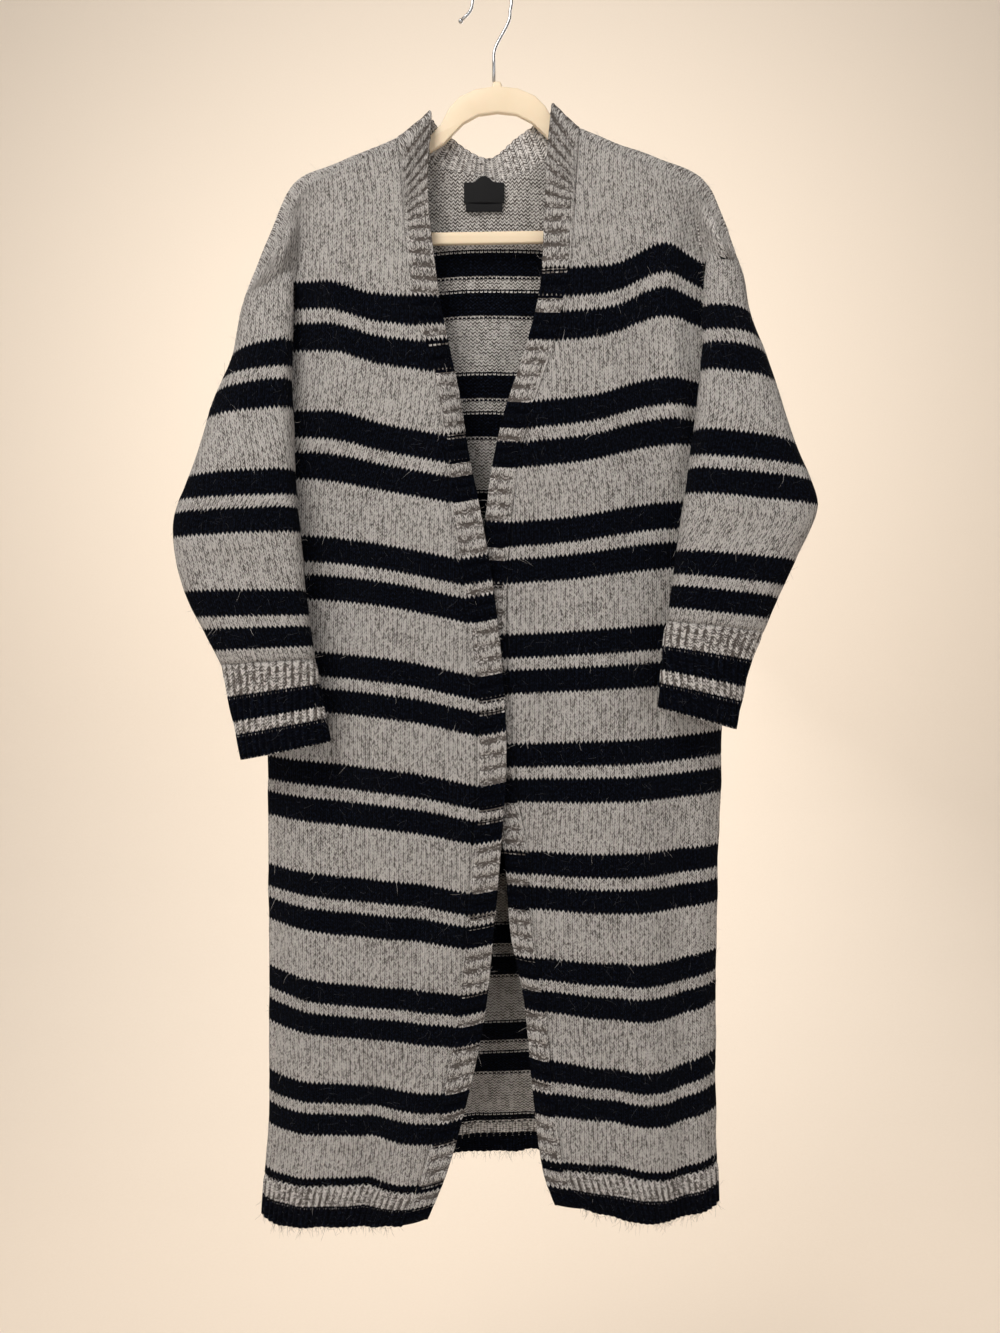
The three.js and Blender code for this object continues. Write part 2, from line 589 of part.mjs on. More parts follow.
function backHem() {
  const curve = (station) => backPoint(RIB_ROW, station);
  const count = ribCount(curve, -3, 3, RIB_PITCH);
  const columns = stations(curve, -3, 3, count);
  const relief = (row, station, i, j) => (j % 2 ? RIB : 0);
  const place = (row, station) => backPoint(row, station);
  return wall([HEM_ROW, RIB_ROW], columns, place, { relief, flip: true });
}

function neckBandPoint(top, at) {
  const name = top ? 'top' : 'seam';
  const x = along(NECK, 'at', `${name}X`, at);
  const z = along(NECK, 'at', `${name}Z`, at) + (top ? 0 : 3 * SEAM);
  return vec(x, along(NECK, 'at', 'back', at) + SEAM * (1 - Math.abs(at)), z);
}

function neckBand() {
  const curve = (at) => neckBandPoint(true, at);
  const edge = 1 - SEAM / 40;
  const count = ribCount(curve, -edge, edge, RIDGE_PITCH * 0.62);
  const columns = stations(curve, -edge, edge, count);
  const relief = (top, at, i, j) => (j % 2 ? RIDGE : 0);
  return wall([0, 0.5, 1], columns, (top, at) => neckBandPoint(0, at).lerp(neckBandPoint(1, at), top),
    { relief, flip: true });
}

// Sleeve section: from the seam round the inner fold, the front, the outer fold and the back
function sleeveSection(side, row) {
  const get = (name) => along(SLEEVES[side], 'row', name, row);
  const [outX, outZ, inX, inZ] = [get('outX'), get('outZ'), get('inX'), get('inZ')];
  const [frontLayer, backLayer] = [get('front'), get('back')];
  const free = smooth(UNDERARM[side] + 5, UNDERARM[side] - 45, inZ);
  const hole = along(SIDES[side], 'z', 'across', Math.max(inZ, UNDERARM[side]));
  const inward = smooth(UNDERARM[side] - 40, CUFF_END * -ROW * 2, inZ);
  const seamX = lerp(hole + ARMHOLE_EASE, inX + 14, inward);
  const heldFront = frontY(side, hole, Math.max(inZ, UNDERARM[side] + 1));
  const heldBack = backY(sign(side) * hole, Math.max(inZ, UNDERARM[side] + 1));
  const start = lerp(heldFront, backLayer, free);
  const end = lerp(heldBack, backLayer, free);
  const middle = (frontLayer + Math.min(backLayer, start)) / 2;
  const height = (across) => lerp(inZ, outZ, clamp((across - inX) / (outX - inX), 0, 1));
  const spot = (across, y) => vec(sign(side) * across, y, height(across));
  const turn = Math.min(16, (outX - inX) * 0.22);
  const inner = Math.min(backLayer, start);
  return [
    spot(seamX - SEAM * free, start),
    spot(lerp(seamX + SEAM, inX + turn, 0.5 * free), inner - lerp(5, 1, free)),
    spot(inX + 3, lerp(inner, frontLayer, 0.3)),
    spot(inX, middle - 2),
    spot(inX + 5, lerp(inner, frontLayer, 0.86)),
    spot(inX + turn, frontLayer),
    spot((inX + outX) / 2, frontLayer - 3),
    spot(outX - turn, frontLayer + 3),
    spot(outX - 3, lerp(backLayer, frontLayer, 0.66)),
    spot(outX, lerp(backLayer, frontLayer, 0.45)),
    spot(outX - 5, lerp(backLayer, frontLayer, 0.16)),
    spot(outX - turn - 4, backLayer + 1),
    spot(lerp(outX - turn, seamX, 0.55), lerp(backLayer, end, 0.5)),
    spot(seamX + SEAM * free, end),
  ];
}

function sleeveCurve(side, row) {
  return new THREE.CatmullRomCurve3(sleeveSection(side, row), false, 'centripetal');
}

function sleeve(side) {
  const rows = [-15 + 3 * GAP, -8, 0, 12, 22, 30, 37, 43, 49, 56, 65, 74, 86, CUFF_ROW - 3 * GAP];
  const curves = rows.map((row) => sleeveCurve(side, row));
  const columns = Array.from({ length: 21 }, (_, k) => k / 20);
  return wall(rows, columns, (row, s, i) => curves[i].getPoint(s), { flip: side === 'left' });
}

function cuff(side) {
  const rows = [CUFF_ROW, (CUFF_ROW + CUFF_END) / 2, CUFF_END];
  const curves = rows.map((row) => sleeveCurve(side, row));
  const count = 2 * Math.round(curves[1].getLength() / RIB_PITCH);
  const columns = Array.from({ length: count + 1 }, (_, k) => k / count);
  const relief = (row, s, i, j) => (j % 2 ? RIB : 0);
  return wall(rows, columns, (row, s, i) => curves[i].getPointAt(s), { relief, flip: side === 'left' });
}

// Label: a folded loop of woven tape sewn under the neck band, with the size tab below it
function tape(left, right, top, foot, bow, y) {
  const columns = Array.from({ length: 7 }, (_, k) => k / 6);
  const place = (low, s) => {
    const arch = Math.sin(Math.PI * s);
    return vec(lerp(left, right, s), y - bow * 0.35 * arch, low ? foot : top + bow * arch);
  };
  return wall([1, 0], columns, place, { thick: 0.8 });
}

// Hanger: half outline from the middle to the tip, and the opening inside it
const HANGER_TOP = [
  [0, -108], [22, -110.5], [40, -118.5], [51, -130], [60, -146.6], [72, -159.4], [95, -169],
  [130, -180], [170, -196], [203, -210], [211, -214.5], [214.5, -222], [212, -232], [203, -252],
  [197, -265], [188, -273], [178, -274.5],
];
const HANGER_HOLE = [
  [0, -136], [20, -138.5], [36, -147], [46, -157], [56, -167.5], [70, -175.5], [95, -185],
  [130, -199.5], [170, -215], [190, -222.5], [198, -229], [199, -236], [192, -250], [185, -259],
  [176, -261.5],
];
const NECK_BOSS = { halfWidth: 4.5, top: -102.8, foot: -108 };

function mirroredPath(path, half) {
  const right = half.map(([x, z]) => new THREE.Vector2(HANGER_CENTRE + x, z));
  const left = half.slice(1).reverse().map(([x, z]) => new THREE.Vector2(HANGER_CENTRE - x, z));
  path.setFromPoints([...right, ...left].reverse());
  return path;
}

function hangerBody() {
  const boss = NECK_BOSS;
  const outline = [
    [boss.halfWidth * 0.6, boss.top], [boss.halfWidth, boss.top - 1.5], [boss.halfWidth + 1, boss.foot - 0.4],
    ...HANGER_TOP.slice(1),
  ];
  const right = outline.map(([x, z]) => new THREE.Vector2(HANGER_CENTRE + x, z));
  const left = outline.slice().reverse().map(([x, z]) => new THREE.Vector2(HANGER_CENTRE - x, z));
  const shape = new THREE.Shape([...right, ...left]);
  shape.holes.push(mirroredPath(new THREE.Path(), HANGER_HOLE));
  const geometry = new THREE.ExtrudeGeometry(shape, {
    depth: HANGER_THICK - 2 * HANGER_BEVEL,
    bevelEnabled: true,
    bevelThickness: HANGER_BEVEL,
    bevelSize: HANGER_BEVEL,
    bevelOffset: -HANGER_BEVEL,
    bevelSegments: 1,
    steps: 1,
  });
  geometry.translate(0, 0, -HANGER_THICK / 2 + HANGER_BEVEL);
  geometry.rotateX(Math.PI / 2);
  geometry.rotateY(-HANGER_TILT);
  return geometry;
}

// Hook: straight shank, a bend to the right, three quarters of a circle and an outward tip
function hookPath() {
  const crest = WIRE / 2;
  const centre = { x: 0, z: crest - HOOK_RADIUS };
  const shank = [
    [2, -102.3], [2, -92], [2, -82], [2, -72.5], [4.5, -64], [10, -53.5], [15.4, -43.5], [19, -34],
  ];
  const arc = Array.from({ length: 15 }, (_, k) => {
    const angle = THREE.MathUtils.degToRad(-22 + 14.3 * k);
    return [centre.x + HOOK_RADIUS * Math.cos(angle), centre.z + HOOK_RADIUS * Math.sin(angle)];
  });
  const tip = [[-21.5, -24], [-25, -30], [-31, -36]];
  const points = [...shank, ...arc, ...tip].map(([x, z]) => vec(x, 0, z));
  return new THREE.CatmullRomCurve3(points, false, 'centripetal');
}

function hanger() {
  const group = new THREE.Group();
  const path = hookPath();
  const section = new THREE.Shape();
  section.absarc(0, 0, WIRE / 2, 0, Math.PI * 2);
  const wire = new THREE.ExtrudeGeometry(section, { steps: 44, curveSegments: 5, extrudePath: path });
  const end = path.getPoint(1);
  const ball = new THREE.SphereGeometry(BALL / 2, 10, 8);
  const out = path.getTangent(1).multiplyScalar(BALL / 2 + SEAM * 0.75);
  ball.translate(end.x + out.x, 0, end.z + out.z);
  group.add(mesh('hanger_body', hangerBody(), COLOURS.hanger));
  group.add(mesh('hanger_hook', wire, COLOURS.wire));
  group.add(mesh('hook_ball', ball, COLOURS.wire));
  return group;
}

function mesh(name, geometry, material) {
  const part = new THREE.Mesh(geometry, material);
  part.name = name;
  return part;
}

const cardigan = new THREE.Group();
cardigan.add(mesh('back_yoke', backShoulders(), COLOURS.wool));
cardigan.add(mesh('back', backStretch(BACK_SPLIT - GAP / 2, GAP), COLOURS.wool));
cardigan.add(mesh('back_skirt', backStretch(RIB_ROW - GAP, BACK_SPLIT + GAP / 2), COLOURS.wool));
cardigan.add(mesh('back_hem_rib', backHem(), COLOURS.rib));
cardigan.add(mesh('back_neck_band', neckBand(), COLOURS.wool));
['right', 'left'].forEach((side) => {
  cardigan.add(mesh(`${side}_front`, front(side), COLOURS.wool));
  cardigan.add(mesh(`${side}_front_hem_rib`, frontHem(side), COLOURS.rib));
  cardigan.add(mesh(`${side}_front_band`, frontBand(side), COLOURS.wool));
  cardigan.add(mesh(`${side}_sleeve`, sleeve(side), COLOURS.wool));
  cardigan.add(mesh(`${side}_cuff`, cuff(side), COLOURS.rib));
});
cardigan.add(mesh('neck_label', tape(-30, 13, -205, -227, 4, 9), COLOURS.label));
cardigan.add(mesh('size_tab', tape(-28, 11, -227.6, -236, 0, 9), COLOURS.label));
cardigan.add(hanger());

export default cardigan;
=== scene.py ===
"""A long open-front knitted cardigan, heather grey with dark double stripes, on a slim hanger.

Lengths are millimetres until a point becomes a mesh vertex. The origin is the inside crest of
the hanger's hook, +Z is up, +X the viewer's right, and the garment's front looks towards -Y.
"""
import math
import random
from collections import namedtuple
from functools import partial

import bmesh
import bpy
from bpy.props import FloatProperty, FloatVectorProperty, IntProperty, PointerProperty
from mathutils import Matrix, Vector, noise


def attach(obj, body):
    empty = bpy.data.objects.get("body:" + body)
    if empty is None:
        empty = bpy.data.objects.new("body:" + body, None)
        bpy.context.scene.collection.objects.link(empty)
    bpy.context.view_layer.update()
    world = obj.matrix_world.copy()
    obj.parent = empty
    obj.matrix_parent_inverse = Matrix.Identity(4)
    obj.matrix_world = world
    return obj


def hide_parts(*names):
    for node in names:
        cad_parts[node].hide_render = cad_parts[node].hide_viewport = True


bl_info = {
    "name": "Knitted duster cardigan",
    "version": (1, 0, 0),
    "blender": (4, 5, 0),
    "location": "3D View > Sidebar > Cardigan",
    "description": "Builds a striped knitted cardigan on its hanger, piece by piece",
    "category": "Object",
}

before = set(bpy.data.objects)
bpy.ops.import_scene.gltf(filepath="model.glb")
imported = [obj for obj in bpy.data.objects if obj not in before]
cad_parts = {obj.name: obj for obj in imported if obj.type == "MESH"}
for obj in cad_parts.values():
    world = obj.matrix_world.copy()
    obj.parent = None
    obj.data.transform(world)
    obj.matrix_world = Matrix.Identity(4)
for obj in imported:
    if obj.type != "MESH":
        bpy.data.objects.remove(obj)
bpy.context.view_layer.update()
MM = 0.001
BODY = "root"

# Cloth
WALL = 3
SEAM = 0.4
SIDE_ROUND = 28
SHOULDER_ROUND = 11
OVERLAP_REACH = 80
ARMHOLE_EASE = 3.6
RIB_PITCH = 6.8
CUFF_PITCH = 7.6
RIDGE_PITCH = 14
NECK_PITCH = 8.7

# Knitted rows, counted down from the first dark stripe
RIB_ROW = 290
HEM_ROW = 304
CUFF_ROW = 98
CUFF_END = 128
CUFF_SKIP = 3
HEM_BELOW = -1300
SPACING_ROW = 150

# Stations along a row, from 0 at the band or in the middle of the back
NECK_AT = 1.3
SIDE_AT = 3
LOBE_AT = 5

# Stripes, in courses: the repeat, the middle of a pair, its half height and half its gap
REPEAT = 37
PAIR_MIDDLE = 10
PAIR_REACH = 10
PAIR_GAP = 2
BODY_MIDDLE = 145
HEM_LINE = 296.5
HEM_LINE_REACH = 1.6
HEM_FOOT = 305

# Grid steps: up the body and the yoke, across the dropped shoulder, round a sleeve, to a rib or ridge
ROW_STEPS = 150
YOKE_STEPS = 30
LOBE_STEPS = 16
SLEEVE_STEPS = 84
RIB_STEPS = 6
RIDGE_STEPS = 8

# Finer patterns in millimetres. The tape's threads are drawn coarser than real, so that they show
THREAD = 0.7
MOULD_RIPPLE = 25
MOULD_GRAIN = 0.4
DRAWN_LINE = 1.111
PAINT_MOTTLE = 5.556

# Stage in metres: the board's floor, height, bend and width, its wall's place and its floor's
BOARD_RUN = 5.0
BOARD_RISE = 4.0
BOARD_BEND = 1.2
BOARD_WIDTH = 12
WALL_AT = 2.4
FLOOR_AT = -2.0


def table(names, *rows):
    """A short table with named columns."""
    row_type = namedtuple("Row", names)
    return tuple(row_type(*row) for row in rows)


# Heights of the knitted rows at the side, outer and middle columns and at the front band
ROWS = {
    "right": table(
        "row side outer middle band",
        (0, -321, -324, -335, -338), (37, -456, -460, -474, -485), (74, -586, -590, -600, -614),
        (111, -705, -710, -718, -733), (148, -817, -824, -832, -845), (185, -930, -939, -944, -954),
        (222, -1036, -1049, -1052, -1059), (259, -1146, -1152, -1154, -1160),
        (288, -1248, -1248, -1248, -1250), (304, -1298, -1297, -1298, -1288)),
    "left": table(
        "row side outer middle band",
        (0, -301, -284, -304, -309), (37, -428, -425, -442, -450), (74, -552, -555, -568, -575),
        (111, -675, -681, -687, -691), (148, -790, -798, -801, -803), (185, -909, -914, -916, -913),
        (222, -1019, -1028, -1027, -1022), (259, -1125, -1139, -1135, -1126),
        (288, -1235, -1241, -1233, -1228), (304, -1284, -1290, -1287, -1273)),
}

# Heights of the back's rows at its middle
BACK_ROWS = table(
    "row middle",
    (0, -274), (74, -532), (148, -767), (222, -998), (259, -1105), (288, -1205), (304, -1247))

# Knitted courses at the drawn rows, which stand for more than one each near the hem
COURSES = table(
    "row course",
    (0, 0), (259, 259), (288, 295), (304, 313))

# How far the sleeves' courses lie below their drawn rows at the elbow
SLEEVE_SLIP = {"right": 1.6, "left": 0.9}

# Free edge of each front band, its width, and how far it turns in or laps over
BANDS = {
    "right": table(
        "z edge width turn lap",
        (-150, 63, 36, 0, 0), (-192, 66, 38, 2, 0), (-240, 66, 37, 3, 0), (-340, 54, 31, 5, 0),
        (-430, 38, 20, 12, 0), (-500, 26, 22, 12, 2), (-560, 13, 29, 4, 9), (-640, -1, 31, 0, 10),
        (-740, -12, 30, 0, 10), (-830, -15, 30, 0, 10), (-920, -9, 30, 0, 9), (-1000, -2, 30, 2, 5),
        (-1090, 8, 30, 4, 0), (-1170, 25, 28, 5, 0), (-1240, 45, 27, 4, 0), (-1290, 66, 26, 3, 0)),
    "left": table(
        "z edge width turn lap",
        (-136, 62, 30, 0, 0), (-192, 57, 33, 2, 0), (-240, 55, 32, 3, 0), (-330, 50, 30, 4, 0),
        (-396, 34, 29, 4, 0), (-468, 11, 27, 4, 0), (-547, -4, 27, 2, 0), (-654, -12, 28, 0, 0),
        (-757, -10, 28, 0, 0), (-860, 0, 28, 0, 0), (-920, 13, 26, 2, 0), (-1000, 20, 24, 7, 0),
        (-1069, 34, 22, 9, 0), (-1163, 43, 22, 9, 0), (-1240, 53, 24, 6, 0), (-1279, 67, 25, 3, 0)),
}

# How far the rows of each band climb to its free edge
BAND_CLIMB = {"right": 5, "left": 2}

# Armhole edge, then the side of the body below the underarm
SIDES = {
    "right": table(
        "z across",
        (-200, 206), (-321, 206), (-430, 212), (-545, 232), (-1190, 233), (-1254, 237), (-1300, 240)),
    "left": table(
        "z across",
        (-200, 222), (-301, 222), (-430, 226), (-540, 240), (-832, 240), (-937, 236), (-1190, 234),
        (-1300, 237)),
}
UNDERARM = {"right": -545, "left": -540}

# Along the shoulder: the first dark row, the seam and the crest
SHOULDERS = {
    "right": table(
        "at rowX rowZ seamX seamZ crestX crestZ",
        (0, 85, -338, 98.4, -174, 99, -162), (1, 125, -333, 136, -191, 133, -177),
        (2, 166, -326, 170, -206, 168, -191), (3, 206, -321, 200, -230, 209, -211),
        (4, 232, -332, 220, -276, 234, -262), (5, 252, -342, 248, -333, 262, -333)),
    "left": table(
        "at rowX rowZ seamX seamZ crestX crestZ",
        (0, 80, -309, 91.4, -166, 92, -153), (1, 127, -303, 133, -183, 130, -168),
        (2, 175, -289, 176, -202, 174, -184), (3, 222, -301, 214, -225, 222, -206),
        (4, 240, -303, 232, -256, 244, -245), (5, 252, -308, 250, -299, 264, -301)),
}

# Seam and top of the back neck band, from the right shoulder to the left
NECK = table(
    "at seamX seamZ topX topZ back",
    (-1, -99, -162, -63, -141, 0), (-0.93, -93, -166, -61, -143, 8), (-0.8, -82, -174, -55, -148, 10.5),
    (-0.6, -62, -184, -44, -156, 12), (-0.35, -36, -193, -28, -168, 13),
    (-0.1, -10, -198, -10, -177, 13), (0.1, 8, -201, 3, -176, 13), (0.4, 36, -193, 24, -158, 13),
    (0.7, 60, -179, 44, -144, 12), (0.85, 76, -167, 54, -139, 11), (0.93, 86, -158, 60, -135, 9),
    (1, 92, -153, 63, -133, 0))

# How far the front and the back stand from the middle plane
DEPTHS = table(
    "z front back",
    (-150, 11, 11), (-200, 12, 12), (-300, 19, 18), (-450, 26, 21), (-700, 29, 24),
    (-1000, 34, 27), (-1300, 41, 30))

# Folds of the fronts and of the back: a line from top to foot, its half width and its rise
FOLDS = {
    "right": table(
        "topX topZ footX footZ width rise",
        (178, -215, 150, -520, 22, 7), (120, -520, 88, -1320, 30, 8), (190, -760, 196, -1320, 24, 6),
        (60, -900, 140, -1320, 18, -5)),
    "left": table(
        "topX topZ footX footZ width rise",
        (188, -200, 196, -560, 18, 9), (120, -420, 100, -1320, 28, 5), (150, -760, 158, -1320, 26, 9),
        (200, -820, 206, -1320, 16, -4)),
    "back": table(
        "topX topZ footX footZ width rise",
        (-150, -220, -120, -1320, 34, 7), (-30, -420, -44, -1320, 38, -6), (70, -300, 86, -1320, 32, 8),
        (176, -240, 168, -1320, 28, 6)),
}

# Soft creases that are too fine for the solids, one unlike the next
CREASES = {
    "right": table(
        "topX topZ footX footZ width rise",
        (150, -330, 196, -470, 9, -2.6), (110, -300, 60, -430, 12, -1.8), (182, -480, 120, -640, 11, -2.2),
        (70, -560, 96, -760, 13, 2.0), (206, -620, 170, -860, 12, -2.4), (30, -760, 60, -930, 10, -1.8),
        (150, -860, 166, -1080, 12, 2.2), (60, -1010, 76, -1230, 10, 2.0), (212, -980, 214, -1320, 8, -2.2),
        (120, -1130, 132, -1320, 8, -1.8)),
    "left": table(
        "topX topZ footX footZ width rise",
        (206, -300, 150, -440, 9, -2.8), (90, -340, 120, -500, 13, -1.8), (160, -430, 208, -600, 10, 2.2),
        (60, -520, 40, -700, 12, -2.0), (180, -640, 160, -840, 13, -2.2), (90, -760, 70, -980, 11, 2.0),
        (226, -700, 220, -900, 9, 2.0), (130, -980, 120, -1240, 11, -2.2), (60, -1090, 78, -1320, 9, 2.0),
        (180, -1120, 182, -1320, 9, 2.0)),
    "back": table(
        "topX topZ footX footZ width rise",
        (-200, -300, -150, -520, 13, -2.4), (-90, -330, -110, -700, 15, 2.2),
        (20, -360, 10, -600, 12, 2.0), (120, -330, 150, -560, 13, -2.4),
        (196, -560, 176, -900, 12, -2.6), (-190, -640, -200, -1000, 14, 2.4),
        (-80, -760, -92, -1200, 13, -2.2), (30, -820, 40, -1320, 12, 2.2),
        (130, -900, 118, -1320, 12, -2.2), (-150, -1040, -160, -1320, 10, -2.2),
        (208, -1000, 210, -1320, 9, 2.0), (-16, -1120, -20, -1320, 9, 2.0)),
}

# Sleeves: outer and inner fold by row, and how far forward the two layers lie
SLEEVES = {
    "right": table(
        "row outX outZ inX inZ front back",
        (-15, 263, -346, 206, -325, -34, 15), (0, 272, -402, 205, -388, -44, 8),
        (12, 286, -442, 205, -430, -50, 0), (37, 309, -526, 201, -519, -60, -16),
        (49, 321, -564, 197, -558, -66, -29), (56, 323, -586, 194, -580, -68, -31),
        (74, 312, -643, 188, -642, -69, -33), (86, 293, -683, 183, -680, -69, -34),
        (98, 274, -720, 178, -714, -67, -35), (108, 266, -753, 174, -740, -66, -36),
        (128, 252, -816, 163, -798, -67, -37)),
    "left": table(
        "row outX outZ inX inZ front back",
        (-15, 265, -312, 222, -304, -32, 15), (0, 272, -360, 218, -352, -42, 9),
        (12, 286, -402, 217, -392, -49, 3), (37, 312, -494, 207, -480, -60, -12),
        (49, 325, -533, 200, -520, -65, -24), (58, 330, -562, 195, -550, -68, -30),
        (74, 308, -614, 187, -604, -69, -33), (86, 290, -652, 182, -640, -69, -34),
        (98, 275, -687, 177, -676, -67, -35), (108, 262, -716, 174, -702, -66, -36),
        (128, 246, -785, 169, -764, -67, -37)),
}

# Creases round the elbow and along the sleeve: place by row and share round, half width, rise
SLEEVE_CREASES = table(
    "row share rowReach shareReach rise",
    (20, 0.30, 5, 0.09, -2.6), (34, 0.46, 4, 0.10, 2.0), (46, 0.36, 4, 0.08, -2.6),
    (55, 0.50, 3.5, 0.07, -3.2), (60, 0.40, 4, 0.07, 2.2), (68, 0.47, 4, 0.08, -2.2),
    (80, 0.33, 6, 0.06, -2.0), (30, 0.78, 7, 0.07, -2.4), (62, 0.84, 5, 0.08, -2.6),
    (92, 0.44, 5, 0.08, 1.8))


def clamp(value, low=0.0, high=1.0):
    return min(max(value, low), high)


def lerp(a, b, share):
    return a + (b - a) * share


def smooth(start, end, value):
    s = clamp((value - start) / (end - start))
    return s * s * (3 - 2 * s)


def quarter_round(distance, radius):
    """Quarter-round profile: 0 at an edge, 1 from a radius inwards."""
    s = 1 - clamp(distance / radius)
    return math.sqrt(1 - s * s)


def sign(side):
    return -1 if side == "right" else 1


def spot(side, across, y, z):
    return Vector((sign(side) * across, y, z))


def between(rows, value):
    """A smooth row of a table, found by its first column, which rises or falls steadily."""
    keys = [row[0] for row in rows]
    falling = keys[0] > keys[-1]
    passed = sum(k > value if falling else k < value for k in keys)
    i = min(max(passed, 1), len(rows) - 1)
    span = keys[i] - keys[i - 1]
    s = clamp((value - keys[i - 1]) / span)
    bend = s * s * (3 - 2 * s)
    leaving, arriving = s * (1 - s) ** 2, s * s * (1 - s)

    def slope(column, k):
        low, high = max(k - 1, 0), min(k + 1, len(rows) - 1)
        return (column[high] - column[low]) / (keys[high] - keys[low])

    values = []
    for column in zip(*rows):
        ends = leaving * slope(column, i - 1) - arriving * slope(column, i)
        values.append(lerp(column[i - 1], column[i], bend) + span * ends)
    return type(rows[0])(*values)


def fold_rise(folds, x, z):
    rise = 0
    for fold in folds:
        s = (z - fold.topZ) / (fold.footZ - fold.topZ)
        reach = (x - lerp(fold.topX, fold.footX, clamp(s))) / fold.width
        foot = 1 if fold.footZ < HEM_BELOW else smooth(1, 0.75, s)
        rise += fold.rise * math.exp(-reach * reach) * smooth(0, 0.2, s) * foot
    return rise


Height = namedtuple("Height", "at z")


def row_height(side, row, at):
    """Height of a row at a station: the band (0), the middle, the outer column and the side (3)."""
    heights = between(ROWS[side], row)
    return between([Height(k, heights[4 - k]) for k in range(4)], at).z


def course_at(row):
    """Knitted course at a drawn row."""
    i = next((k for k in range(1, len(COURSES) - 1) if row <= COURSES[k].row), len(COURSES) - 1)
    low, high = COURSES[i - 1], COURSES[i]
    return lerp(low.course, high.course, (row - low.row) / (high.row - low.row))


def band_seam(side, z):
    band = between(BANDS[side], z)
    return band.edge + band.width


def side_reach(side, z):
    return between(SIDES[side], z).across


def rounded_off(side, folds, x, z):
    """What is left of a panel's depth towards its side, and its folds, which calm down there."""
    inwards = side_reach(side, z) - abs(x)
    is_open = smooth(UNDERARM[side] + 10, UNDERARM[side] + 110, z) * 0.85
    edge = quarter_round(inwards, SIDE_ROUND)
    rise = fold_rise(FOLDS[folds], x, z) + fold_rise(CREASES[folds], x, z)
    return is_open + (1 - is_open) * edge, smooth(0, SIDE_ROUND * 1.6, inwards) * rise


def front_y(side, across, z):
    """The front stands less proud at its sides, where the sleeves lie on it."""
    left, rise = rounded_off(side, side, across, z)
    crown = 1 - 0.48 * (across / side_reach(side, z)) ** 2
    seam = band_seam(side, z)
    lap = between(BANDS[side], z).lap * smooth(seam + OVERLAP_REACH, seam, across)
    return -SEAM * 0.7 - between(DEPTHS, z).front * crown * left - lap - rise


def front_point(side, row, at):
    z = row_height(side, row, at)
    across = lerp(band_seam(side, z), side_reach(side, z), at / SIDE_AT)
    return spot(side, across, front_y(side, across, z), z)


def first_row(side, at):
    """First dark row of the front, on into the dropped shoulder."""
    if at <= SIDE_AT:
        return front_point(side, 0, at)
    shoulder = between(SHOULDERS[side], at)
    past = at - SIDE_AT
    bulge = math.sin(math.pi * clamp(past / 2.1))
    y = lerp(front_point(side, 0, SIDE_AT).y, -13, past / (LOBE_AT - SIDE_AT)) - 19 * bulge
    return spot(side, shoulder.rowX, y, shoulder.rowZ)


def shoulder_seam(side, at):
    shoulder = between(SHOULDERS[side], at)
    return spot(side, shoulder.seamX, -SHOULDER_ROUND, shoulder.seamZ)


def yoke_point(side, rise, at):
    """Yoke of the front: rise 0 is the first dark row, 1 the shoulder seam."""
    low, high = first_row(side, at), shoulder_seam(side, at)
    p = low.lerp(high, rise)
    groove = math.exp(-((at - SIDE_AT) / 0.35) ** 2) * 6
    drop = smooth(SIDE_AT, SIDE_AT + 0.6, at) * 12
    p.y = lerp(low.y, high.y, smooth(0, 1, rise)) + (groove - drop) * math.sin(math.pi * rise)
    return p


def front_place(side, row, at):
    """A point of the front: rows below 0 are rises up the yoke."""
    if row < 0:
        return yoke_point(side, -row, at)
    return first_row(side, at) if at > SIDE_AT else front_point(side, row, at)


def yoke_band(side, rise):
    low, crest = first_row(side, 0), SHOULDERS[side][0]
    z = lerp(low.z, crest.crestZ, rise)
    across = lerp(abs(low.x), crest.crestX, rise)
    cap = quarter_round(crest.crestZ - z, SHOULDER_ROUND)
    y = lerp(low.y, -SHOULDER_ROUND, smooth(0, 0.9, rise)) * cap
    return spot(side, across, min(y, -SEAM), z)


def band_point(side, row, share):
    """Front band: share 0 is the seam beside the front, 1 the free edge."""
    on_body = row >= 0
    seam = front_point(side, row, 0) if on_body else yoke_band(side, -row)
    z = seam.z
    if not on_body:
        z = lerp(seam.z, between(NECK, sign(side)).topZ, smooth(0.35, 1, -row))
    band = between(BANDS[side], z)
    turn = band.turn * (1 if on_body else 1 + row)
    free = spot(side, band.edge, seam.y + turn, z)
    p = seam.lerp(free, share)
    p.y = lerp(seam.y, free.y, share ** 2)
    if on_body:
        p.z += BAND_CLIMB[side] * share ** 1.5 * smooth(0, 12, row)
    return p


def back_side(station):
    return "right" if station < 0 else "left"


def back_y(x, z):
    side = back_side(x)
    left, rise = rounded_off(side, "back", x, z)
    crown = 1 - 0.2 * (abs(x) / side_reach(side, z)) ** 2.5
    return SEAM * 0.7 + between(DEPTHS, z).back * crown * left + rise


def back_point(row, station):
    side = back_side(station)
    middle = between(BACK_ROWS, row).middle
    share = station / SIDE_AT
    z = lerp(middle, row_height(side, row, SIDE_AT), abs(share) ** 2.2)
    x = share * side_reach(side, z)
    return Vector((x, back_y(x, z), z))


def back_first_row(station):
    at = abs(station)
    if at <= SIDE_AT:
        return back_point(0, station)
    side = back_side(station)
    shoulder = between(SHOULDERS[side], at)
    start = back_point(0, math.copysign(SIDE_AT, station))
    y = lerp(start.y, 12, (at - SIDE_AT) / (LOBE_AT - SIDE_AT))
    return spot(side, shoulder.rowX, y, shoulder.rowZ)


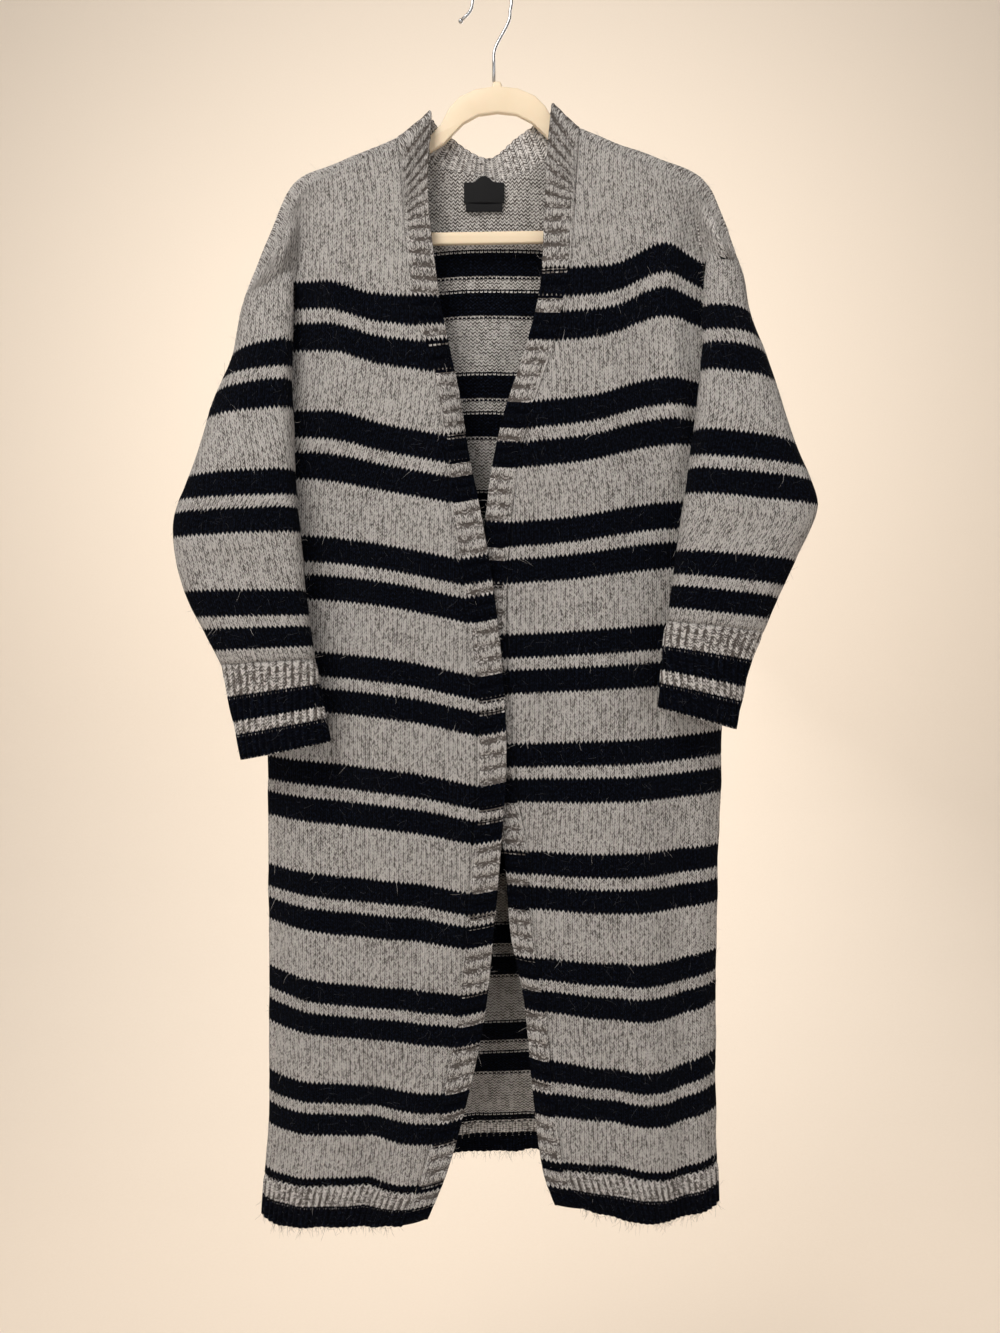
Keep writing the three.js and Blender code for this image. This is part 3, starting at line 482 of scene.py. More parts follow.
def back_yoke(rise, station):
    """Rise 0 to 1 goes up the back to the crest or the neck, 1 to 2 over it to the front seam."""
    low, at = back_first_row(station), abs(station)
    if at < NECK_AT:
        neck = between(NECK, station / NECK_AT)
        p = low.lerp(Vector((neck.seamX, 0, neck.seamZ)), min(rise, 1))
        p.y = lerp(low.y, neck.back, min(rise, 1))
        return p
    side = back_side(station)
    shoulder_at = SIDE_AT * (at - NECK_AT) / (SIDE_AT - NECK_AT) if at <= SIDE_AT else at
    shoulder = between(SHOULDERS[side], shoulder_at)
    crest = spot(side, shoulder.crestX, 0, shoulder.crestZ)
    if rise <= 1:
        p = low.lerp(crest, rise)
        left = math.hypot(crest.x - low.x, crest.z - low.z) * (1 - rise)
        p.y = lerp(low.y, SHOULDER_ROUND, smooth(0, 0.85, rise)) * quarter_round(left, SHOULDER_ROUND)
        return p
    p = crest.lerp(shoulder_seam(side, shoulder_at), rise - 1)
    past = math.hypot(p.x - crest.x, p.z - crest.z)
    p.y = -SHOULDER_ROUND * quarter_round(past, SHOULDER_ROUND)
    return p


def back_place(row, station):
    """A point of the back: rows below 0 are rises up the yoke and over the shoulder."""
    if row < 0:
        return back_yoke(-row, station)
    return back_first_row(station) if abs(station) > SIDE_AT else back_point(row, station)


def neck_point(share, at):
    """Back neck band: share 0 is its seam, 1 its top edge."""
    neck = between(NECK, at)
    x, z = lerp(neck.seamX, neck.topX, share), lerp(neck.seamZ, neck.topZ, share)
    return Vector((x, neck.back + SEAM * (1 - abs(at)), z))


def sleeve_section(side, row):
    """Sleeve section: from the seam round the inner fold, the front, the outer fold and the back."""
    _, out_x, out_z, in_x, in_z, front, back = between(SLEEVES[side], row)
    under = UNDERARM[side]
    free = smooth(under + 5, under - 45, in_z)
    hole = side_reach(side, max(in_z, under))
    inward = smooth(under - 40, -CUFF_END * 6.4, in_z)
    seam_x = lerp(hole + ARMHOLE_EASE, in_x + 14, inward)
    held = max(in_z, under + 1)
    start = lerp(front_y(side, hole, held), back, free)
    end = lerp(back_y(sign(side) * hole, held), back, free)
    inner = min(back, start)
    turn = min(16, (out_x - in_x) * 0.22)
    section = (
        (seam_x - SEAM * free, start),
        (lerp(seam_x + SEAM, in_x + turn, 0.5 * free), inner - lerp(5, 1, free)),
        (in_x + 3, lerp(inner, front, 0.3)),
        (in_x, (front + inner) / 2 - 2),
        (in_x + 5, lerp(inner, front, 0.86)),
        (in_x + turn, front),
        ((in_x + out_x) / 2, front - 3),
        (out_x - turn, front + 3),
        (out_x - 3, lerp(back, front, 0.66)),
        (out_x, lerp(back, front, 0.45)),
        (out_x - 5, lerp(back, front, 0.16)),
        (out_x - turn - 4, back + 1),
        (lerp(out_x - turn, seam_x, 0.55), lerp(back, end, 0.5)),
        (seam_x + SEAM * free, end))
    points = []
    for across, y in section:
        z = lerp(in_z, out_z, clamp((across - in_x) / (out_x - in_x)))
        points.append(spot(side, across, y, z))
    return points


def lengths_along(points):
    """Distance of each point of a chain from its first."""
    lengths = [0.0]
    for a, b in zip(points, points[1:]):
        lengths.append(lengths[-1] + (b - a).length)
    return lengths


def even_spots(points, steps):
    """Spots at even distances along a chain: the point after each, and the share from the last."""
    lengths, i = lengths_along(points), 1
    for k in range(steps + 1):
        goal = lengths[-1] * k / steps
        while i < len(points) - 1 and lengths[i] < goal:
            i += 1
        yield i, clamp((goal - lengths[i - 1]) / (lengths[i] - lengths[i - 1]))


def steps_between(start, end, count):
    return [lerp(start, end, i / count) for i in range(count + 1)]


def even_values(curve, start, end, count):
    """Values of a parameter whose points lie at even distances along a curve."""
    fine = steps_between(start, end, 300)
    spots = even_spots([curve(value) for value in fine], count)
    return [lerp(fine[i - 1], fine[i], s) for i, s in spots]


def curve_through(points, steps):
    """Even points along a centripetal curve through the given ones."""
    ends = [2 * points[0] - points[1]] + points + [2 * points[-1] - points[-2]]
    fine = []
    for k in range(len(points) - 1):
        p0, p1, p2, p3 = ends[k:k + 4]
        d0, d1, d2 = ((b - a).length ** 0.5 or 1 for a, b in ((p0, p1), (p1, p2), (p2, p3)))
        m1 = ((p1 - p0) / d0 - (p2 - p0) / (d0 + d1) + (p2 - p1) / d1) * d1
        m2 = ((p2 - p1) / d1 - (p3 - p1) / (d1 + d2) + (p3 - p2) / d2) * d1
        for i in range(12):
            s = i / 12
            fine.append((2 * s ** 3 - 3 * s ** 2 + 1) * p1 + (s ** 3 - 2 * s ** 2 + s) * m1
                        + (3 * s ** 2 - 2 * s ** 3) * p2 + (s ** 3 - s ** 2) * m2)
    fine.append(points[-1].copy())
    return [fine[i - 1].lerp(fine[i], s) for i, s in even_spots(fine, steps)]


def to_linear(hex_colour):
    """A linear RGBA colour from an sRGB hex value."""
    parts = [int(hex_colour[i:i + 2], 16) / 255 for i in (1, 3, 5)]
    return [c / 12.92 if c <= 0.04045 else ((c + 0.055) / 1.055) ** 2.4 for c in parts] + [1]


def colour_setting(name, description, hex_colour):
    return FloatVectorProperty(name=name, description=description, subtype="COLOR", size=4,
                               default=to_linear(hex_colour))


def length_setting(name, description, length):
    return FloatProperty(name=name, description=description, unit="LENGTH", default=length * MM)


class KnitSettings(bpy.types.PropertyGroup):
    """Sizes and colours of the knitted cloth."""

    wale: length_setting("Wale", "Width of one knitted stitch", 4.6)
    course: length_setting("Course", "Height of one knitted row on the yoke", 3.75)
    grey: colour_setting("Heather grey", "Yarn of the ground", "#DEDAD7")
    # Also the colour that the knit's painted shade in hollows and furrows mixes in.
    grey_dark: colour_setting("Grey fibres", "Darker fibres spun into the ground yarn", "#5A5450")
    navy: colour_setting("Navy", "Yarn of the stripes", "#04050A")
    strands: IntProperty(name="Stray fibres", description="Loose fibres on each square decimetre",
                         default=90, min=0)
    strand_length: length_setting("Fibre length", "Mean length of a stray fibre", 9)


class HangerSettings(bpy.types.PropertyGroup):
    """Colours of the hanger and the labels."""

    plastic: colour_setting("Plastic", "Moulded body of the hanger", "#E9D7BC")
    wire: colour_setting("Wire", "Plated hook", "#C9CACC")
    tape: colour_setting("Tape", "Woven neck label and size tab", "#060609")


def add(tree, kind, *inputs, named=None, out=0, **settings):
    """Add one node, such as "Math.ADD", and give one output. Inputs fill it in order or by name."""
    kind, _, operation = kind.partition(".")
    node = tree.nodes.new("ShaderNode" + kind)
    if operation:
        node.operation = operation
    for name, value in settings.items():
        setattr(node, name, value)
    for key, source in [*enumerate(inputs), *(named or {}).items()]:
        if isinstance(source, bpy.types.NodeSocket):
            tree.links.new(source, node.inputs[key])
        else:
            node.inputs[key].default_value = source
    return node.outputs[out] if node.outputs else None


# Settings of a node that mixes two colours: the share goes to input 0, the colours to 6 and 7
COLOURS = {"out": 2, "data_type": "RGBA", "clamp_factor": True}


def new_material(name):
    material = bpy.data.materials.new(name)
    material.use_nodes = True
    material.node_tree.nodes.clear()
    return material, material.node_tree


def finish_material(tree, colour, relief, **shader_values):
    """Give a material its shader, and the relief of a height, its strength and its millimetres."""
    named = {name.replace("_", " "): value for name, value in shader_values.items()}
    named["Base Color"] = colour
    if relief:
        height, strength, distance = relief
        bump = {"Height": height, "Strength": strength, "Distance": distance * MM}
        named["Normal"] = add(tree, "Bump", named=bump)
    add(tree, "OutputMaterial", add(tree, "BsdfPrincipled", named=named))


def stripe_mask(tree, course):
    """1 on the dark courses: pairs of 8, 4 apart, every 37, then a line of 3 and the hem's foot."""
    repeat = add(tree, "Math.MODULO", course, REPEAT)
    off_centre = add(tree, "Math.ABSOLUTE", add(tree, "Math.SUBTRACT", repeat, PAIR_MIDDLE))
    beyond_gap = add(tree, "Math.GREATER_THAN", off_centre, PAIR_GAP)
    within_pair = add(tree, "Math.LESS_THAN", off_centre, PAIR_REACH)
    pair = add(tree, "Math.MULTIPLY", beyond_gap, within_pair)
    off_body = add(tree, "Math.ABSOLUTE", add(tree, "Math.SUBTRACT", course, BODY_MIDDLE))
    on_body = add(tree, "Math.LESS_THAN", off_body, BODY_MIDDLE)
    pair = add(tree, "Math.MULTIPLY", pair, on_body)
    off_line = add(tree, "Math.ABSOLUTE", add(tree, "Math.SUBTRACT", course, HEM_LINE))
    line = add(tree, "Math.LESS_THAN", off_line, HEM_LINE_REACH)
    foot = add(tree, "Math.GREATER_THAN", course, HEM_FOOT)
    return add(tree, "Math.MAXIMUM", pair, add(tree, "Math.MAXIMUM", line, foot))


def knit_coordinates(tree):
    """The map in wales and courses, and each of the two."""
    uv = add(tree, "UVMap", uv_map="knit")
    return (uv, *add(tree, "SeparateXYZ", uv).node.outputs[:2])


def fibre_noise(tree, uv, scale, detail):
    spread = add(tree, "VectorMath.MULTIPLY", uv, scale)
    return add(tree, "TexNoise", named={"Vector": spread, "Scale": 1.0, "Detail": detail})


def wobbled(tree, uv, courses, reach):
    """Courses that wander a little, as in cloth knitted by hand."""
    wobble = add(tree, "Math.SUBTRACT", fibre_noise(tree, uv, (0.9, 0.9, 1), 2.0), 0.5)
    return add(tree, "Math.ADD", courses, add(tree, "Math.MULTIPLY", wobble, reach))


def stitch_chance(tree, column, row):
    """One random value for each stitch."""
    key = add(tree, "CombineXYZ", add(tree, "Math.FLOOR", column), row)
    return add(tree, "TexWhiteNoise", key, noise_dimensions="2D")


def face_pattern(tree, uv, wales, courses):
    """The smooth side: two legs to a stitch, set as a V. Gives the row, the height and a random."""
    off_centre = add(tree, "Math.SUBTRACT", add(tree, "Math.FRACT", wales), 0.5)
    spread = add(tree, "Math.MULTIPLY", add(tree, "Math.ABSOLUTE", off_centre), 2.0)
    slanted = wobbled(tree, uv, add(tree, "Math.MULTIPLY_ADD", spread, 1.15, courses), 0.5)
    row = add(tree, "Math.FLOOR", slanted)
    within = add(tree, "Math.FRACT", slanted)
    swell = add(tree, "Math.SINE", add(tree, "Math.MULTIPLY", within, math.pi))
    off_leg = add(tree, "Math.DIVIDE", add(tree, "Math.SUBTRACT", spread, 0.42), 0.58)
    leg = add(tree, "Math.MULTIPLY_ADD", add(tree, "Math.MULTIPLY", off_leg, off_leg), -1.0, 1.0)
    height = add(tree, "Math.MULTIPLY", leg, add(tree, "Math.MULTIPLY_ADD", swell, 0.85, 0.15))
    return row, height, stitch_chance(tree, add(tree, "Math.MULTIPLY", wales, 2.0), row)


def purl_pattern(tree, uv, wales, courses):
    """The rough side: rows of small bumps, which show as dashes where the colour changes."""
    across = add(tree, "Math.FRACT", wales)
    off_centre = add(tree, "Math.ABSOLUTE", add(tree, "Math.SUBTRACT", across, 0.5))
    placed = wobbled(tree, uv, courses, 0.4)
    within = add(tree, "Math.FRACT", placed)
    narrow = add(tree, "Math.LESS_THAN", off_centre, 0.34)
    dash = add(tree, "Math.MULTIPLY", narrow, add(tree, "Math.GREATER_THAN", within, 0.42))
    dropped = add(tree, "Math.SUBTRACT", placed, add(tree, "Math.MULTIPLY", dash, 1.1))
    row = add(tree, "Math.FLOOR", dropped)
    round_turn = add(tree, "Math.COSINE", add(tree, "Math.MULTIPLY", across, 2 * math.pi))
    waved = add(tree, "Math.ADD", placed, add(tree, "Math.MULTIPLY", round_turn, 0.3))
    swell = add(tree, "Math.SINE", add(tree, "Math.MULTIPLY", waved, 2 * math.pi))
    height = add(tree, "Math.MULTIPLY_ADD", swell, -0.5, 0.5)
    return row, height, stitch_chance(tree, wales, row)


def knit_material(name, knit, inside):
    """Wool-blend knit, lofty and dry: a soft halo, no gloss, painted shade in the hollows between the yarns
    and in the furrows of the ribs and ridges.
    """
    material, tree = new_material(name)
    uv, wales, courses = knit_coordinates(tree)
    sides = [face_pattern(tree, uv, wales, courses), purl_pattern(tree, uv, wales, courses)]
    if inside:
        sides.reverse()
    furrow = add(tree, "Attribute", out="Fac", attribute_name="furrow")
    turned = add(tree, "Math.GREATER_THAN", furrow, 0.6)
    row, height, chance = (add(tree, "Mix", named={0: turned, 2: a, 3: b}) for a, b in zip(*sides))
    # Outside, the furrows sink the stitches: less relief, and through the hollow weight below, deeper
    # painted shade.
    if not inside:
        sunk = add(tree, "Math.MULTIPLY_ADD", furrow, -0.75, 1.0)
        height = add(tree, "Math.MULTIPLY", height, sunk)
    dark = stripe_mask(tree, add(tree, "Math.ADD", row, 0.5))
    fine = fibre_noise(tree, uv, (5.5, 4.0, 1), 5.0)
    broad = fibre_noise(tree, uv, (0.05, 0.04, 1), 2.0)
    tufts = fibre_noise(tree, uv, (1.7, 1.2, 1), 2.0)
    # Share of dark fibres: painted shade in the outside furrows and painted light on the inside crests,
    # painted shade in the low parts of each stitch, then the heather's random stitches, fibres, tufts and
    # broad patches.
    shade, hollow_shade, base = (-0.3, -1.9, -1.3) if inside else (0.4, -1.5, -1.5)
    marl_and_shade = add(tree, "Math.MULTIPLY_ADD", furrow, shade, base)
    parts = ((height, hollow_shade), (chance, 1.2), (fine, 0.6), (tufts, 2.7), (broad, 0.5))
    for pattern, part in parts:
        marl_and_shade = add(tree, "Math.MULTIPLY_ADD", pattern, part, marl_and_shade)
    ground = add(tree, "Mix", named={0: marl_and_shade, 6: knit.grey, 7: knit.grey_dark}, **COLOURS)
    # Navy turns lighter where fuzz tufts sit, only on raised stitches: the fuzz's colour, with a painted
    # highlight on the stitch crowns.
    lit_tufts = add(tree, "Math.MULTIPLY", add(tree, "Math.MULTIPLY_ADD", tufts, 4.0, -1.7), height)
    stripe = add(tree, "Mix", named={0: lit_tufts, 6: knit.navy, 7: to_linear("#1B2233")}, **COLOURS)
    colour = add(tree, "Mix", named={0: dark, 6: ground, 7: stripe}, **COLOURS)
    relief = add(tree, "Math.MULTIPLY_ADD", fine, 0.3, height)
    finish_material(
        tree, colour, (relief, 1.0, 2.2), Roughness=0.95, IOR=1.45, Specular_IOR_Level=0.03,
        Sheen_Weight=add(tree, "Math.MULTIPLY_ADD", dark, -0.09, 0.1), Sheen_Roughness=0.5,
        Sheen_Tint=knit.grey)
    return material


def label_material(colour):
    """Woven polyester tape: near black, tight cross weave, a slight sheen."""
    material, tree = new_material("Woven polyester tape")
    threads = 2 * math.pi / (THREAD * MM)
    across, _, up = add(tree, "SeparateXYZ", add(tree, "TexCoord", out="Object")).node.outputs
    warp = add(tree, "Math.SINE", add(tree, "Math.MULTIPLY", across, threads))
    weft = add(tree, "Math.SINE", add(tree, "Math.MULTIPLY", up, threads))
    weave = add(tree, "Math.MULTIPLY", warp, weft)
    share = add(tree, "Math.MULTIPLY_ADD", weave, 0.3, 0.3)
    tint = add(tree, "Mix", named={0: share, 6: colour, 7: to_linear("#131417")}, **COLOURS)
    finish_material(tree, tint, (weave, 0.5, 0.2), Roughness=0.7, IOR=1.5, Specular_IOR_Level=0.25,
                    Sheen_Weight=0.03)
    return material


def mottled(tree, size, detail, colour, other):
    """A noise of a size in millimetres on the object, and a colour that it mixes."""
    place = add(tree, "TexCoord", out="Object")
    pattern = add(tree, "TexNoise", named={"Vector": place, "Scale": 1 / (size * MM), "Detail": detail})
    tint = add(tree, "Mix", named={0: pattern, 6: colour, 7: to_linear(other)}, **COLOURS)
    return place, pattern, tint


def plastic_material(colour):
    """Injection-moulded polypropylene: cream, satin, with a faint ripple from the mould."""
    material, tree = new_material("Moulded cream polypropylene")
    place, ripples, tint = mottled(tree, MOULD_RIPPLE, 3.0, colour, "#E3CFB0")
    grain = {"Vector": place, "Scale": 1 / (MOULD_GRAIN * MM), "Detail": 2.0}
    grain = add(tree, "TexNoise", named=grain)
    height = add(tree, "Math.MULTIPLY_ADD", grain, 0.12, ripples)
    finish_material(tree, tint, (height, 0.25, 0.3), Roughness=0.42, IOR=1.49,
                    Subsurface_Weight=0.06, Subsurface_Scale=2 * MM)
    return material


def wire_material(colour):
    """Nickel-plated steel wire: bright, with fine drawn lines along it."""
    material, tree = new_material("Plated steel wire")
    _, scratches, tint = mottled(tree, DRAWN_LINE, 2.0, colour, "#A9ABAF")
    finish_material(tree, tint, (scratches, 0.1, 0.1), Metallic=1.0, Roughness=0.16)
    return material


def fibre_material(knit):
    """Loose fibres of the same yarns, in the colour of the row that each one grows from."""
    material, tree = new_material("Stray wool fibres")
    uv, _, courses = knit_coordinates(tree)
    dark = stripe_mask(tree, add(tree, "Math.ADD", add(tree, "Math.FLOOR", courses), 0.5))
    chance = add(tree, "TexWhiteNoise", uv, noise_dimensions="2D")
    grey = add(tree, "Mix", named={0: chance, 6: to_linear("#C4BDB8"), 7: knit.grey}, **COLOURS)
    navy = {0: chance, 6: to_linear("#10131F"), 7: to_linear("#3A3C47")}
    navy = add(tree, "Mix", named=navy, **COLOURS)
    colour = add(tree, "Mix", named={0: dark, 6: grey, 7: navy}, **COLOURS)
    finish_material(tree, colour, None, Roughness=0.8, IOR=1.45, Sheen_Weight=0.2)
    return material


def link_object(name, mesh, materials, slot, *nodes):
    """Put a finished mesh into the scene, riding on the body in place of its CAD nodes."""
    piece = bpy.data.objects.new(name, mesh)
    bpy.context.scene.collection.objects.link(piece)
    for material in materials:
        mesh.materials.append(material)
    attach(piece, BODY)
    if nodes:
        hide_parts(*nodes)
    return piece


def thicken(piece, thickness, inside_slot=1):
    """Give a sheet its thickness inwards, with the rough side of the knit inside."""
    wall = piece.modifiers.new("Cloth wall", "SOLIDIFY")
    wall.thickness = thickness * MM
    wall.offset = -1
    wall.material_offset = inside_slot
    wall.material_offset_rim = 0


def grid_normals(points, flip):
    """Outward direction at each point of a grid, from its neighbours."""
    last_row, last_column = len(points) - 1, len(points[0]) - 1
    normals = []
    for i, line in enumerate(points):
        below, above = points[max(i - 1, 0)], points[min(i + 1, last_row)]
        normals.append([])
        for j in range(last_column + 1):
            across = line[min(j + 1, last_column)] - line[max(j - 1, 0)]
            normal = across.cross(above[j] - below[j]).normalized()
            normals[-1].append(-normal if flip else normal)
    return normals


def finished_mesh(name, bm):
    """A smooth-shaded mesh from a bmesh."""
    for face in bm.faces:
        face.smooth = True
    mesh = bpy.data.meshes.new(name)
    bm.to_mesh(mesh)
    bm.free()
    return mesh


def loft(name, sheet):
    """A bmesh grid moved to a sheet's points, with its wale and course numbers as UV."""
    rows, columns = len(sheet.points) - 1, len(sheet.points[0]) - 1
    bm = bmesh.new()
    knit_map = bm.loops.layers.uv.new("knit")
    furrow = bm.verts.layers.float.new("furrow")
    bmesh.ops.create_grid(bm, x_segments=columns, y_segments=rows, size=0.5)
    place = {}
    for vert in bm.verts:
        place[vert] = (round((vert.co.y + 0.5) * rows), round((vert.co.x + 0.5) * columns))
    left_out = []
    for face in bm.faces:
        i, j = (min(place[vert][k] for vert in face.verts) for k in (0, 1))
        if not sheet.keep(i, j):
            left_out.append(face)
        for loop in face.loops:
            a, b = place[loop.vert]
            loop[knit_map].uv = (sheet.wales[a][b], sheet.courses[a][b])
    for vert, (i, j) in place.items():
        vert[furrow] = sheet.furrow(i, j)
        vert.co = sheet.lifted(i, j) * MM
    bmesh.ops.delete(bm, geom=left_out, context="FACES")
    if sheet.flip:
        bmesh.ops.reverse_faces(bm, faces=bm.faces)
    return finished_mesh(name, bm)


class Sheet:
    """Points of a piece of knit, with the wale and course number at each of them."""

    def __init__(self, points, courses, flip=False, anchor=0, wales=None,
                 keep=lambda i, j: True, relief=lambda i, j: 0, furrow=lambda i, j: 0):
        self.points, self.courses, self.flip = points, courses, flip
        self.normals = grid_normals(points, flip)
        self.wales = wales or [self.count_wales(line, anchor) for line in points]
        self.keep, self.relief, self.furrow = keep, relief, furrow

    @staticmethod
    def count_wales(line, anchor):
        """Wales of constant width, counted along a row from its anchor column."""
        wale = bpy.context.scene.cardigan_knit.wale / MM
        lengths = lengths_along(line)
        return [(length - lengths[anchor]) / wale for length in lengths]

    def lifted(self, i, j):
        """A point with the relief of the ribs or ridges."""
        return self.points[i][j] + self.normals[i][j] * self.relief(i, j)

    def area(self):
        """Flat area in square metres, from the kept cells."""
        total = 0
        for i in range(len(self.points) - 1):
            for j in range(len(self.points[0]) - 1):
                if self.keep(i, j):
                    a, b = self.lifted(i, j), self.lifted(i, j + 1)
                    d, c = self.lifted(i + 1, j), self.lifted(i + 1, j + 1)
                    total += ((c - a).cross(d - b)).length / 2
        return total * MM * MM


def ripple(points, normals, reach, seed):
    """Small unevenness that every hand-washed knit has."""
    for i, line in enumerate(points):
        for j, p in enumerate(line):
            broad = noise.noise(Vector((p.x, p.y * 2, p.z)) / 38 + Vector((seed, 0, 0)))
            fine = noise.noise(Vector((p.x, p.y, p.z)) / 13 + Vector((seed, 7, 0)))
            p += normals[i][j] * (broad * reach + fine * reach * 0.35)


def course_grid(rows, columns, place):
    """Course numbers of a grid; above row 0 they go on by the distance up the yoke."""
    course = bpy.context.scene.cardigan_knit.course / MM
    base = [place(0, column) for column in columns]
    courses = []
    for row in rows:
        if row >= 0:
            courses.append([course_at(row)] * len(columns))
        else:
            courses.append([-(place(row, c) - start).length / course for start, c in zip(base, columns)])
    return courses


def fibres(name, sheet, knit, seed, material, density=1.0, hem=0):
    """Loose fibres on a sheet: thin bent three-sided hairs, coarser than real so that they show."""
    chance = random.Random(seed)
    cells = [(i, j) for i in range(len(sheet.points) - 1) for j in range(len(sheet.points[0]) - 1)
             if sheet.keep(i, j)]
    count = int(sheet.area() * 100 * knit.strands * density)
    bm = bmesh.new()
    knit_map = bm.loops.layers.uv.new("knit")
    edge_cells = [cell for cell in cells if cell[0] < 2]
    for k in range(count + hem):
        at_edge = k >= count
        i, j = chance.choice(edge_cells if at_edge else cells)
        u, v = chance.random(), (0 if at_edge else chance.random())
        p = sheet.points[i][j].lerp(sheet.points[i][j + 1], u)
        p = p.lerp(sheet.points[i + 1][j].lerp(sheet.points[i + 1][j + 1], u), v)
        out = sheet.normals[i][j]
        uv = (lerp(sheet.wales[i][j], sheet.wales[i][j + 1], u),
              lerp(sheet.courses[i][j], sheet.courses[i + 1][j], v))
        length = knit.strand_length / MM * chance.uniform(0.4, 1.7)
        turn = chance.uniform(0, 2 * math.pi)
        side = out.orthogonal().normalized()
        along_cloth = side * math.cos(turn) + out.cross(side) * math.sin(turn)
        droop = Vector((0, 0, -0.5))
        heading = (along_cloth + out * chance.uniform(0.1, 0.5)).normalized()
        if at_edge:
            heading = Vector((chance.uniform(-0.9, 0.9), chance.uniform(-0.5, 0.5), -1)).normalized()
        curl = Vector([chance.uniform(-1, 1) for _ in range(3)])
        spots = [p.copy()]
        for _ in range(4):
            heading = (heading + curl * 0.28 + droop * 0.12 - out * 0.12).normalized()
            spots.append(spots[-1] + heading * length / 4)
        hair(bm, knit_map, spots, chance.uniform(0.08, 0.14), uv)
    link_object(name, finished_mesh(name, bm), [material], "wool")


def hair(bm, knit_map, spots, radius, uv):
    """One fibre: rings of three points along its spots, closed to a point at its tip."""
    rings = []
    for k, spot in enumerate(spots[:-1]):
        heading = (spots[k + 1] - spot).normalized()
        side = heading.orthogonal().normalized()
        other = heading.cross(side)
        thin = radius * (1 - 0.5 * k / len(spots))
        rings.append([bm.verts.new((spot + (side * math.cos(a) + other * math.sin(a)) * thin) * MM)
                      for a in (0, 2.094, 4.189)])
    tip = bm.verts.new(spots[-1] * MM)
    faces = [bm.faces.new(reversed(rings[0]))]
    for low, high in zip(rings, rings[1:]):
        faces += [bm.faces.new((low[n], low[(n + 1) % 3], high[(n + 1) % 3], high[n])) for n in range(3)]
    faces += [bm.faces.new((rings[-1][n], rings[-1][(n + 1) % 3], tip)) for n in range(3)]
    for face in faces:
        for loop in face.loops:
            loop[knit_map].uv = uv


LOOKS = {}


def looks():
    """The materials, made once from the settings."""
    if not LOOKS:
        knit, hanger = bpy.context.scene.cardigan_knit, bpy.context.scene.cardigan_hanger
        LOOKS["face"] = knit_material("Brushed wool-blend knit", knit, inside=False)
        LOOKS["purl"] = knit_material("Wool-blend knit, rough side", knit, inside=True)
        LOOKS["fibre"] = fibre_material(knit)
        LOOKS["tape"] = label_material(hanger.tape)
        LOOKS["plastic"] = plastic_material(hanger.plastic)
        LOOKS["wire"] = wire_material(hanger.wire)
    return LOOKS


def cloth_piece(name, sheet, flat, slot, nodes, density=1.0, hem=0, seed=1):
    """A sheet of knit with its wall and its stray fibres."""
    knit = bpy.context.scene.cardigan_knit
    materials = looks()
    piece = link_object(name, loft(name, sheet), [materials["face"], materials["purl"]], slot, *nodes)
    thicken(piece, WALL - 0.2)
    area = min(sheet.area(), flat[0] * flat[1])
    if knit.strands:
        fibres(name + "_fibres", sheet, knit, seed, materials["fibre"], density, hem)


def wave(step, rise=1, fullness=1):
    """Ribs or ridges: a rounded wave, flatter on top the lower its fullness is."""
    return rise * (0.5 + 0.5 * math.cos(2 * math.pi * step)) ** fullness


def rib_wales(rows, count, start):
    """One wale to each rib, from a start."""
    return [[j / RIB_STEPS + start for j in range(count)] for _ in rows]


class CARDIGAN_OT_fronts(bpy.types.Operator):
    """Make the two front panels with their dropped shoulders"""

    bl_idname = "cardigan.fronts"
    bl_label = "Fronts"

    def execute(self, context):
        for k, side in enumerate(ROWS):
            rows = steps_between(RIB_ROW, 0, ROW_STEPS)
            rows += [-value for value in steps_between(0, 1, YOKE_STEPS)[1:]]
            main = even_values(partial(front_point, side, SPACING_ROW), 0, SIDE_AT, 56)
            columns = main + steps_between(SIDE_AT, LOBE_AT, LOBE_STEPS)[1:]
            points = [[front_place(side, row, at) for at in columns] for row in rows]
            courses = course_grid(rows, columns, partial(front_place, side))
            sheet = Sheet(points, courses, flip=side == "right", anchor=len(main) - 1,
                          keep=lambda i, j: i >= ROW_STEPS or j < len(main) - 1)
            ripple(points, sheet.normals, 1.1, 3 + 8 * k)
            shift_out(sheet, WALL)
            cloth_piece(side + "_front_panel", sheet, (0.30, 1.14), "wool",
                        [side + "_front"], seed=21 + k)
        return {"FINISHED"}


def shift_out(sheet, distance):
    """Move a sheet off its base surface, where the solid's outer face is."""
    for i, line in enumerate(sheet.points):
        for j, p in enumerate(line):
            normal = sheet.normals[i][j]
            p += normal.lerp(Vector((0, -1, 0)), smooth(0.5, 0.8, -normal.y)) * distance


